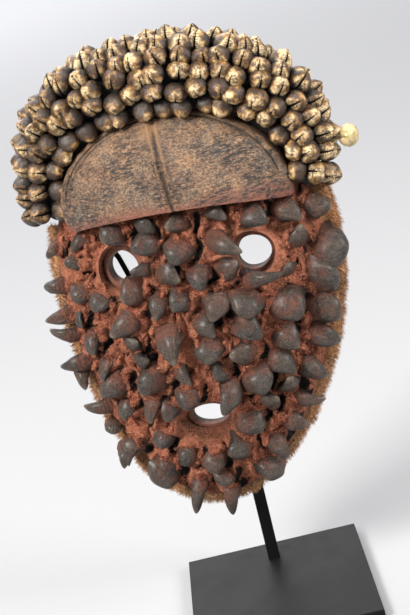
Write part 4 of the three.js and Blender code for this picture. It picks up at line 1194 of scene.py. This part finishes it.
cloth, tree = new_material("dark_coarse_cloth")
threads = [
    node_of(tree, "ShaderNodeTexWave", bands_direction=direction, Scale=1.0, Distortion=0.6,
            Vector=place_on(tree, "UV")).outputs["Fac"]
    for direction in "XY"
]
weave = product_of(tree, *threads)
grime = speckle(tree, place_on(tree), 40, 5, 0.6)
share = product_of(tree, weave, between(tree, grime, 0.35, 0.7, 0.2, 1.0))
surface(tree, Base_Color=blended(tree, share, CLOTH_DARK, CLOTH_WORN),
        Roughness=between(tree, grime, 0.3, 0.7, 0.85, 0.98), Sheen_Weight=0.15)
woven = bumped(tree, weave, WEAVE_DEPTH)
bumped(tree, grime, GRIME_DEPTH, woven)

rings = [[roll_point(ROLL_END - ROLL_END_BEYOND, 0, 0)]]
for k in range(ROLL_STEPS + 1):
    angle = ROLL_END + (math.pi - 2 * ROLL_END) * k / ROLL_STEPS
    ring = []
    for s in range(ROLL_SIDES):
        around = 2 * math.pi * s / ROLL_SIDES
        pucker = ROLL_PUCKER * ripple(12 * angle, 3 * math.cos(around), 3 * math.sin(around), 1.3, 2)
        pucker -= ROLL_SLACK
        from_end = min(1, k / ROLL_END_STEPS, (ROLL_STEPS - k) / ROLL_END_STEPS)
        end = min(1, ROLL_END_SHARE + (1 - ROLL_END_SHARE) * math.sin(math.pi / 2 * from_end))
        inward = 1 + ROLL_TO_WOOD * max(0, -math.sin(around)) ** 10
        ring.append(roll_point(angle, around, (roll_radius(angle) * inward + pucker) * end))
    rings.append(ring)
rings.append([roll_point(math.pi - ROLL_END + ROLL_END_BEYOND, 0, 0)])
points, faces = skin_over(rings)


def clear_of_forehead(x, z, fraction, k):
    return forehead_front(x, z, fraction, k) + ROLL_GAP


pad = mesh_object("headdress_roll", in_mask(points), faces, cloth)
join_and_cut(pad, [], [
    face_block("solid_face", ROLL_GAP, ROLL_GAP, 1, cloth, FACE_TOOLING),
    forehead_block("solid_forehead", ROLL_GAP, 1, clear_of_forehead, cloth, 40)])
smooth(pad)
coverage = pad.data.uv_layers.new(name="cloth")
unplaced = TO_MASK.inverted()
for loop in pad.data.loops:
    at = unplaced @ pad.data.vertices[loop.vertex_index].co
    turn = math.atan2((at.z - ROLL_CENTRE_Z) / ROLL_UP, at.x / ROLL_HALF_WIDTH)
    side = math.hypot(at.x / ROLL_HALF_WIDTH, (at.z - ROLL_CENTRE_Z) / ROLL_UP)
    around = math.atan2(side - 1, -(at.y + ROLL_MIDDLE_DEPTH) / ROLL_UNROLLED_OVER)
    coverage.data[loop.index].uv = (turn * WEAVE_ALONG, around * WEAVE_AROUND)
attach(pad, "root")
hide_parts("headdress_pad")


# Cowrie rows: money cowries sewn on end, side by side and row above row, slit side outwards.
# Golden and polished on the lips, grey-violet on the flanks, with old grime in slit and teeth.
# The slit, the lower half and the flanks are darkened further as painted shade between the shells,
# the tips carry a painted highlight, and the shells on the left are painted darker than on the right.
SHELL_LENGTH, SHELL_HALF_WIDTH, SHELL_HALF_THICKNESS = 20.0, 9.0, 7.6
SHELL_PITCH, SHELL_ROWS, ROW_SPACING, SHELL_MIDDLE = 15.3, 7, 13, 9.5
FIRST_ROW_TOP, FIRST_ROW_SIDE, LAST_ROW = (math.radians(angle) for angle in (-38, -12, 128))
SHELL_RINGS = 12
GIRTH_POWER, THICK_POWER = 0.68, 0.62
SHELL_SUNK, WALK_STEP = 1.5, 0.002
SHELL_TONE, SHELL_TONE_VARIES, SHELL_PAINTED_LIGHTER_RIGHT = 0.45, 0.5, 0.3
FIRST_ROW_LEANS = 0.45
SMALLEST_SHELL, LARGEST_SHELL = (0.90, 0.90, 0.92), (1.08, 1.12, 1.06)
JOSTLE_SEED, LOOSENESS_SEED = 20, 50
SHELL_CREAM = (0.700, 0.520, 0.280, 1)
SHELL_GOLD = (0.320, 0.165, 0.048, 1)
SHELL_VIOLET_AND_SHADE = (0.042, 0.028, 0.021, 1)
SHELL_BROWN = (0.048, 0.022, 0.009, 1)
SHELL_GRIME_AND_SHADE = (0.008, 0.006, 0.005, 1)
TEETH_TURNS = 84
TEETH_DEPTH, SHELL_WEAR_DEPTH = 0.0009, 0.0009
# Half of the section across a shell, from the slit round to the middle of the back: share of the
# half width, and share of the half thickness with the slit side negative.
SHELL_SECTION = ((0.0, -0.50), (0.06, -0.72), (0.12, -0.96), (0.48, -0.94), (0.85, -0.55),
                 (1.0, 0.0), (0.82, 0.58), (0.45, 0.92), (0.0, 1.0))


def row_around(row, angle):
    first = FIRST_ROW_SIDE + (FIRST_ROW_TOP - FIRST_ROW_SIDE) * roll_rise(angle)
    return first + row * ROW_SPACING / (roll_radius(angle) + SHELL_MIDDLE)


def row_middle(row, angle):
    return roll_point(angle, row_around(row, angle), roll_radius(angle) + SHELL_MIDDLE)


def shells_of_row(row):
    """Foot, side, slit and length directions of each shell, walked along the roll at an even pitch."""
    found, steps = [], []
    walked, before, angle = (row % 2) * SHELL_PITCH / 4, row_middle(row, ROLL_END), ROLL_END
    while angle < math.pi - ROLL_END:
        here = row_middle(row, angle)
        walked += (here - before).length
        before = here
        if walked >= SHELL_PITCH / 2:
            walked -= SHELL_PITCH / 2
            if row_around(row, angle) < LAST_ROW:
                steps.append(angle)
        angle += WALK_STEP
    for angle in steps[1::2]:
        around = row_around(row, angle)
        leaning = around - (FIRST_ROW_LEANS * max(0, -math.cos(angle)) if row == 0 else 0)
        axis = roll_point(angle, leaning, 1) - roll_point(angle, leaning, 0)
        side = (row_middle(row, angle + WALK_STEP) - row_middle(row, angle)).normalized()
        slit = axis.cross(side).normalized()
        foot = roll_point(angle, around, roll_radius(angle) - SHELL_SUNK)
        found.append((foot, slit.cross(axis), slit, axis))
    return found


def shell_mesh(name):
    """One cowrie on end, in metres: slit towards -Y, pointed tip at +Z."""
    section = [(x, y) for x, y in SHELL_SECTION] + [(-x, y) for x, y in SHELL_SECTION[-2:0:-1]]
    rings, places = [], []
    for r in range(1, SHELL_RINGS):
        up = 0.5 - 0.5 * math.cos(math.pi * r / SHELL_RINGS)
        girth = math.sin(math.pi * up ** 0.96) ** GIRTH_POWER
        thick = math.sin(math.pi * up ** 0.92) ** THICK_POWER
        ring = []
        for x, y in section:
            deep = 1.0 if abs(x) > 0.1 else 0.75 + 0.25 * girth
            ring.append((x * girth * SHELL_HALF_WIDTH / MM_IN_METRE,
                         y * thick * deep * SHELL_HALF_THICKNESS / MM_IN_METRE,
                         up * SHELL_LENGTH / MM_IN_METRE))
            places.append((x, y, up))
        rings.append(ring)
    foot, tip = (0, 0, 0), (0, 0, SHELL_LENGTH / MM_IN_METRE)
    points, faces = skin_over([[foot], *rings, [tip]])
    shell = mesh_object(name, points, turned_round(faces), shell_skin)
    told_to(shell, shell_place=[(0, 0, 0), *places, (0, -0.5, 1)])
    shell.data.shade_smooth()
    return shell


def larger_of(tree, first, second):
    return combined(tree, "MAXIMUM", first, second)


shell_skin, tree = new_material("polished_cowrie")
place = place_on(tree)
shell_place = node_of(tree, "ShaderNodeSeparateXYZ", Vector=attribute_of(tree, "shell_place", "Vector"))
across, depth, up = (shell_place.outputs[axis] for axis in "XYZ")
tone = attribute_of(tree, "shell_tone")
cloud = speckle(tree, place, 150, 4, 0.65)
patches = speckle(tree, place, 230, 6, 0.78)
spots = speckle(tree, place, 700, 4, 0.75)
from_slit = node_of(tree, "ShaderNodeMath", operation="ABSOLUTE", Value=across).outputs[0]
slit_side = between(tree, depth, 0.10, -0.50)
pale_lips_and_tip_highlight = product_of(tree, between(tree, from_slit, 1.0, 0.45), slit_side)
# Painted highlight: the share also grows pale towards the tip.
pale_lips_and_tip_highlight = larger_of(tree, pale_lips_and_tip_highlight, between(tree, up, 0.72, 0.95, 0, 0.8))
pale_and_painted_light = sum_of(tree, pale_lips_and_tip_highlight, between(tree, cloud, 0.35, 0.60, -0.35, 0.35))
# Each shell's tone darkens it, and with it the painted shade on the left-hand shells.
pale_and_painted_light = sum_of(tree, pale_and_painted_light, between(tree, tone, 0, 1, 0.22, -0.45))
teeth = node_of(tree, "ShaderNodeMath", operation="SINE", Value=product_of(tree, up, TEETH_TURNS)).outputs[0]
toothed = product_of(tree, between(tree, from_slit, 0.50, 0.22), slit_side)
furrow = product_of(tree, between(tree, teeth, 0.0, 0.7), toothed)
in_slit = product_of(tree, between(tree, from_slit, 0.12, 0.07), slit_side)
height = sum_of(tree, up, between(tree, cloud, 0.3, 0.7, -0.16, 0.16))
# Painted shade and old grime: dark in the slit and over the lower half towards the foot, between the shells.
grime_and_painted_shade = larger_of(tree, in_slit, between(tree, height, 0.66, 0.42))
# The grey-violet ground is kept very dark on the flanks as painted shade between the shells.
colour = layered(
    tree, SHELL_VIOLET_AND_SHADE,
    (between(tree, pale_and_painted_light, 0.22, 0.62), SHELL_GOLD),
    (between(tree, pale_and_painted_light, 0.60, 1.05), SHELL_CREAM),
    (between(tree, patches, 0.48, 0.55, 0, 0.88), SHELL_BROWN),
    (between(tree, spots, 0.58, 0.66, 0, 0.75), SHELL_BROWN),
    (product_of(tree, furrow, 0.7), SHELL_BROWN),
    (grime_and_painted_shade, SHELL_GRIME_AND_SHADE),
)
rough = larger_of(tree, larger_of(tree, grime_and_painted_shade, furrow), between(tree, patches, 0.50, 0.60, 0, 0.6))
surface(tree, Base_Color=colour, Roughness=between(tree, rough, 0, 1, 0.16, 0.7))
toothed_relief = bumped(tree, product_of(tree, furrow, -1), TEETH_DEPTH)
bumped(tree, patches, SHELL_WEAR_DEPTH, toothed_relief)


def sewing_tree():
    """Sets a shell on each point as its turn says, each a little loose, tilted and out of line."""
    tree = bpy.data.node_groups.new("sewn_shells", "GeometryNodeTree")
    given = tree_inputs(
        tree, Points=("Geometry", None), Shell=("Object", None), Looseness=("Float", 0.24),
        Twist=("Float", 0.45), Jostle=("Float", 0.0014), Seed=("Int", 1), Finish=("Material", None))

    def spread_over(x, y, z, seed):
        """A random vector between minus and plus these amounts."""
        most = node_of(tree, "ShaderNodeCombineXYZ", X=x, Y=y, Z=z).outputs[0]
        least = node_of(tree, "ShaderNodeVectorMath", operation="SCALE", Vector=most, Scale=-1).outputs[0]
        spread = node_of(tree, "FunctionNodeRandomValue", data_type="FLOAT_VECTOR", Min=least, Max=most,
                         Seed=sum_of(tree, given["Seed"], seed))
        return spread.outputs["Value"]
    shell = node_of(tree, "GeometryNodeObjectInfo", Object=given["Shell"])
    jostled = node_of(
        tree, "GeometryNodeSetPosition", Geometry=given["Points"],
        Offset=spread_over(given["Jostle"], given["Jostle"], given["Jostle"], JOSTLE_SEED))
    turn = node_of(tree, "GeometryNodeInputNamedAttribute", data_type="FLOAT_VECTOR", Name="turn")
    as_turn = node_of(tree, "FunctionNodeEulerToRotation", Euler=turn.outputs["Attribute"])
    size = node_of(tree, "FunctionNodeRandomValue", data_type="FLOAT_VECTOR",
                   Min=SMALLEST_SHELL, Max=LARGEST_SHELL, Seed=given["Seed"])
    sewn = node_of(
        tree, "GeometryNodeInstanceOnPoints", Points=jostled.outputs[0], Instance=shell.outputs["Geometry"],
        Rotation=as_turn.outputs[0], Scale=size.outputs["Value"])
    loosened = node_of(
        tree, "GeometryNodeRotateInstances", Instances=sewn.outputs[0],
        Rotation=spread_over(given["Looseness"], given["Looseness"], given["Twist"], LOOSENESS_SEED))
    return end_tree(tree, loosened.outputs[0], given["Finish"])


sewn_shells = sewing_tree()
one_shell = shell_mesh("one_cowrie")
for row in range(SHELL_ROWS):
    feet, turns, tones = [], [], []
    for n, (foot, side, slit, axis) in enumerate(shells_of_row(row)):
        feet.append(TO_MASK @ foot)
        upright = Matrix((-side, -slit, axis)).transposed()
        turns.append((TO_MASK.to_3x3().normalized() @ upright).to_euler())
        tone = SHELL_TONE + SHELL_TONE_VARIES * uneven(40 * row + n)
        # Painted shade: each shell's random tone is made darker to the left and lighter to the right.
        tones.append(min(1, max(0, tone - SHELL_PAINTED_LIGHTER_RIGHT * foot.x / ROLL_HALF_WIDTH)))
    cowries = mesh_object(f"cowries_{row + 1}", feet, [], shell_skin)
    told_to(cowries, turn=turns, shell_tone=tones)
    grown(cowries, sewn_shells, Shell=one_shell, Seed=row + 1, Finish=shell_skin)
    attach(cowries, "root")
    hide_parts(f"cowrie_row_{row + 1}")


# Loose shell: one more cowrie, sewn on proud of the rest at the right temple.
# It is olive yellow and shiny, and lies on its side with its smooth back to the viewer.
LOOSE_SHELL_PLACE = Vector((132.8, -26, 72))
SHELL_OLIVE = (0.330, 0.260, 0.095, 1)
OLIVE_RELIEF_DEPTH = 0.0006
QUARTER_TURN = math.radians(90)

olive_shell, tree = new_material("olive_cowrie")
place = place_on(tree)
cloud = speckle(tree, place, 160, 4, 0.6)
spots = speckle(tree, place, 520, 4, 0.75)
colour = layered(
    tree, SHELL_OLIVE,
    (between(tree, cloud, 0.40, 0.62), SHELL_CREAM),
    (between(tree, spots, 0.56, 0.64, 0, 0.7), SHELL_BROWN),
)
surface(tree, Base_Color=colour, Roughness=between(tree, spots, 0.4, 0.7, 0.15, 0.5))
bumped(tree, cloud, OLIVE_RELIEF_DEPTH)
loose = mesh_object("loose_shell", [vertex.co for vertex in one_shell.data.vertices],
                    [tuple(face.vertices) for face in one_shell.data.polygons], olive_shell)
loose.data.transform(
    TO_MASK @ Matrix.Translation(LOOSE_SHELL_PLACE) @ Matrix.Rotation(QUARTER_TURN, 4, "X")
    @ Matrix.Rotation(-QUARTER_TURN, 4, "Z") @ Matrix.Scale(MM_IN_METRE, 4)
    @ Matrix.Translation((0, 0, -SHELL_LENGTH / 2 / MM_IN_METRE)))
loose.data.shade_smooth()
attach(loose, "root")
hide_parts("loose_cowrie")
bpy.data.objects.remove(one_shell)


# Hide border: a strip of dried skin nailed round the edge of the face, its short tan hair still on.
# It is ragged at its edge, and at the right temple a flap of it laps over the paste.
HIDE_WIDTH_LEFT, HIDE_WIDTH_RIGHT, HIDE_FRONT, HIDE_BACK = 8.5, 11, 14, 3
HIDE_INNER, HIDE_STEPS = 0.6, 240
# Where the strip is wider or narrower: the angle round the face, over how much, and by how much.
HIDE_SWELLS = ((-2.2, 0.45, 4.5), (-1.0, 0.5, -1.5))
FLAP_FROM, FLAP_OVER, FLAP_HALF, FLAP_REACH, FLAP_LIFT = 0.06, 0.12, 8, 15, 10
HIDE_END, HIDE_START = math.radians(16), math.radians(21)
HIDE_RAGGED, HIDE_FRAYED, HIDE_TRIMMED, HIDE_COCKLED = 1.6, 1.0, 0.8, 0.5
HAIR_TAN = (0.560, 0.330, 0.165, 1)
HAIR_DARK = (0.120, 0.055, 0.026, 1)
HAIR_RUST = (0.420, 0.190, 0.080, 1)
STRAND_DEPTH = 0.0008
HAIR_LENGTH, HAIR_RADIUS, HAIR_DENSITY = 0.0044, 0.00024, 1000000.0
HAIR_CORNERS = (0, 2.094, 4.189)
HAIR_BEHIND = 0.25

hide_skin, tree = new_material("short_haired_hide")
place = place_on(tree)
cloud = speckle(tree, place, 60, 4, 0.6)
strand = speckle(tree, place, 700, 3, 0.7)
colour = layered(
    tree, HAIR_DARK,
    (between(tree, cloud, 0.40, 0.60), HAIR_RUST),
    (between(tree, strand, 0.42, 0.62), HAIR_TAN),
)
surface(tree, Base_Color=colour, Roughness=between(tree, cloud, 0.3, 0.7, 0.7, 0.95))
bumped(tree, strand, STRAND_DEPTH)


def hide_ring(k):
    """One section across the strip, from its back round its edge to its front and the flap."""
    angle = HIDE_START - (math.pi + HIDE_START + HIDE_END) * k / HIDE_STEPS
    flap = min(1, max(0, (angle - FLAP_FROM) / FLAP_OVER)) if math.cos(angle) > 0 else 0
    width = HIDE_WIDTH_LEFT + (HIDE_WIDTH_RIGHT - HIDE_WIDTH_LEFT) * max(0, math.cos(angle)) ** 3
    width += sum(by * hill(angle - at, over) for at, over, by in HIDE_SWELLS)
    width += HIDE_RAGGED * ripple(k, 0, 0, 7, 3) + HIDE_FRAYED * ripple(k, 0, 0, 2.5, 5) - HIDE_TRIMMED
    ring = []
    section = (
        (HIDE_INNER, HIDE_BACK), (0.55 * width, HIDE_BACK + 0.5), (0.95 * width, HIDE_BACK + 2.5),
        (width, (HIDE_FRONT + HIDE_BACK) / 2), (0.9 * width, HIDE_FRONT - 2.5),
        (0.5 * width, HIDE_FRONT - 0.3), (HIDE_INNER, HIDE_FRONT),
        (-FLAP_HALF * flap, HIDE_FRONT - 0.5), (-FLAP_REACH * flap, HIDE_FRONT - 1),
        (-FLAP_REACH * flap, HIDE_FRONT - 2), (-FLAP_HALF * flap, HIDE_FRONT - 2.5),
    )
    for grow, forward in section:
        x, z = face_point(angle, grow)
        if grow < 0:
            forward += flap * (face_depth(x, z, 0) - FACE_RIM_DEPTH + FLAP_LIFT)
        ring.append((x, -forward - HIDE_COCKLED * ripple(k, grow, forward, 4, 7), z))
    return ring


def centre_of(ring):
    return [tuple(sum(values) / len(ring) for values in zip(*ring))]


rings = [hide_ring(k) for k in range(HIDE_STEPS + 1)]
points, faces = skin_over([centre_of(rings[0]), *rings, centre_of(rings[-1])])
hide = mesh_object("hide_strip", in_mask(points), faces, hide_skin)


def hair_mesh(name, length, radius):
    """One hair, three-sided, curved and drawn to a point."""
    rings = []
    for up in (0, 0.5):
        thin = radius * (1 - 0.5 * up)
        rings.append([
            (thin * math.cos(corner) + 0.25 * length * up * up, thin * math.sin(corner), up * length)
            for corner in HAIR_CORNERS])
    points, faces = skin_over([[(0, 0, 0)], *rings, [(0.3 * length, 0, length)]])
    return mesh_object(name, points, turned_round(faces), hide_skin)


def hair_here(x, y, z):
    """Hair all over the front, and a quarter as much behind."""
    return np.clip(HAIR_BEHIND + (-y - 4) / 5, HAIR_BEHIND, 1)


tinted(hide, strewn=hair_here)
one_hair = hair_mesh("one_hair", HAIR_LENGTH, HAIR_RADIUS)
grown(hide, strewn_over, Thing=one_hair, Density=HAIR_DENSITY, Comb=(0.0, -0.3, -0.5), Untidy=0.6,
      Smallest=0.5, Seed=4, Finish=hide_skin)
bpy.data.objects.remove(one_hair)
smooth(hide, sharp_over=80)
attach(hide, "root")
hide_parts("hide_border")
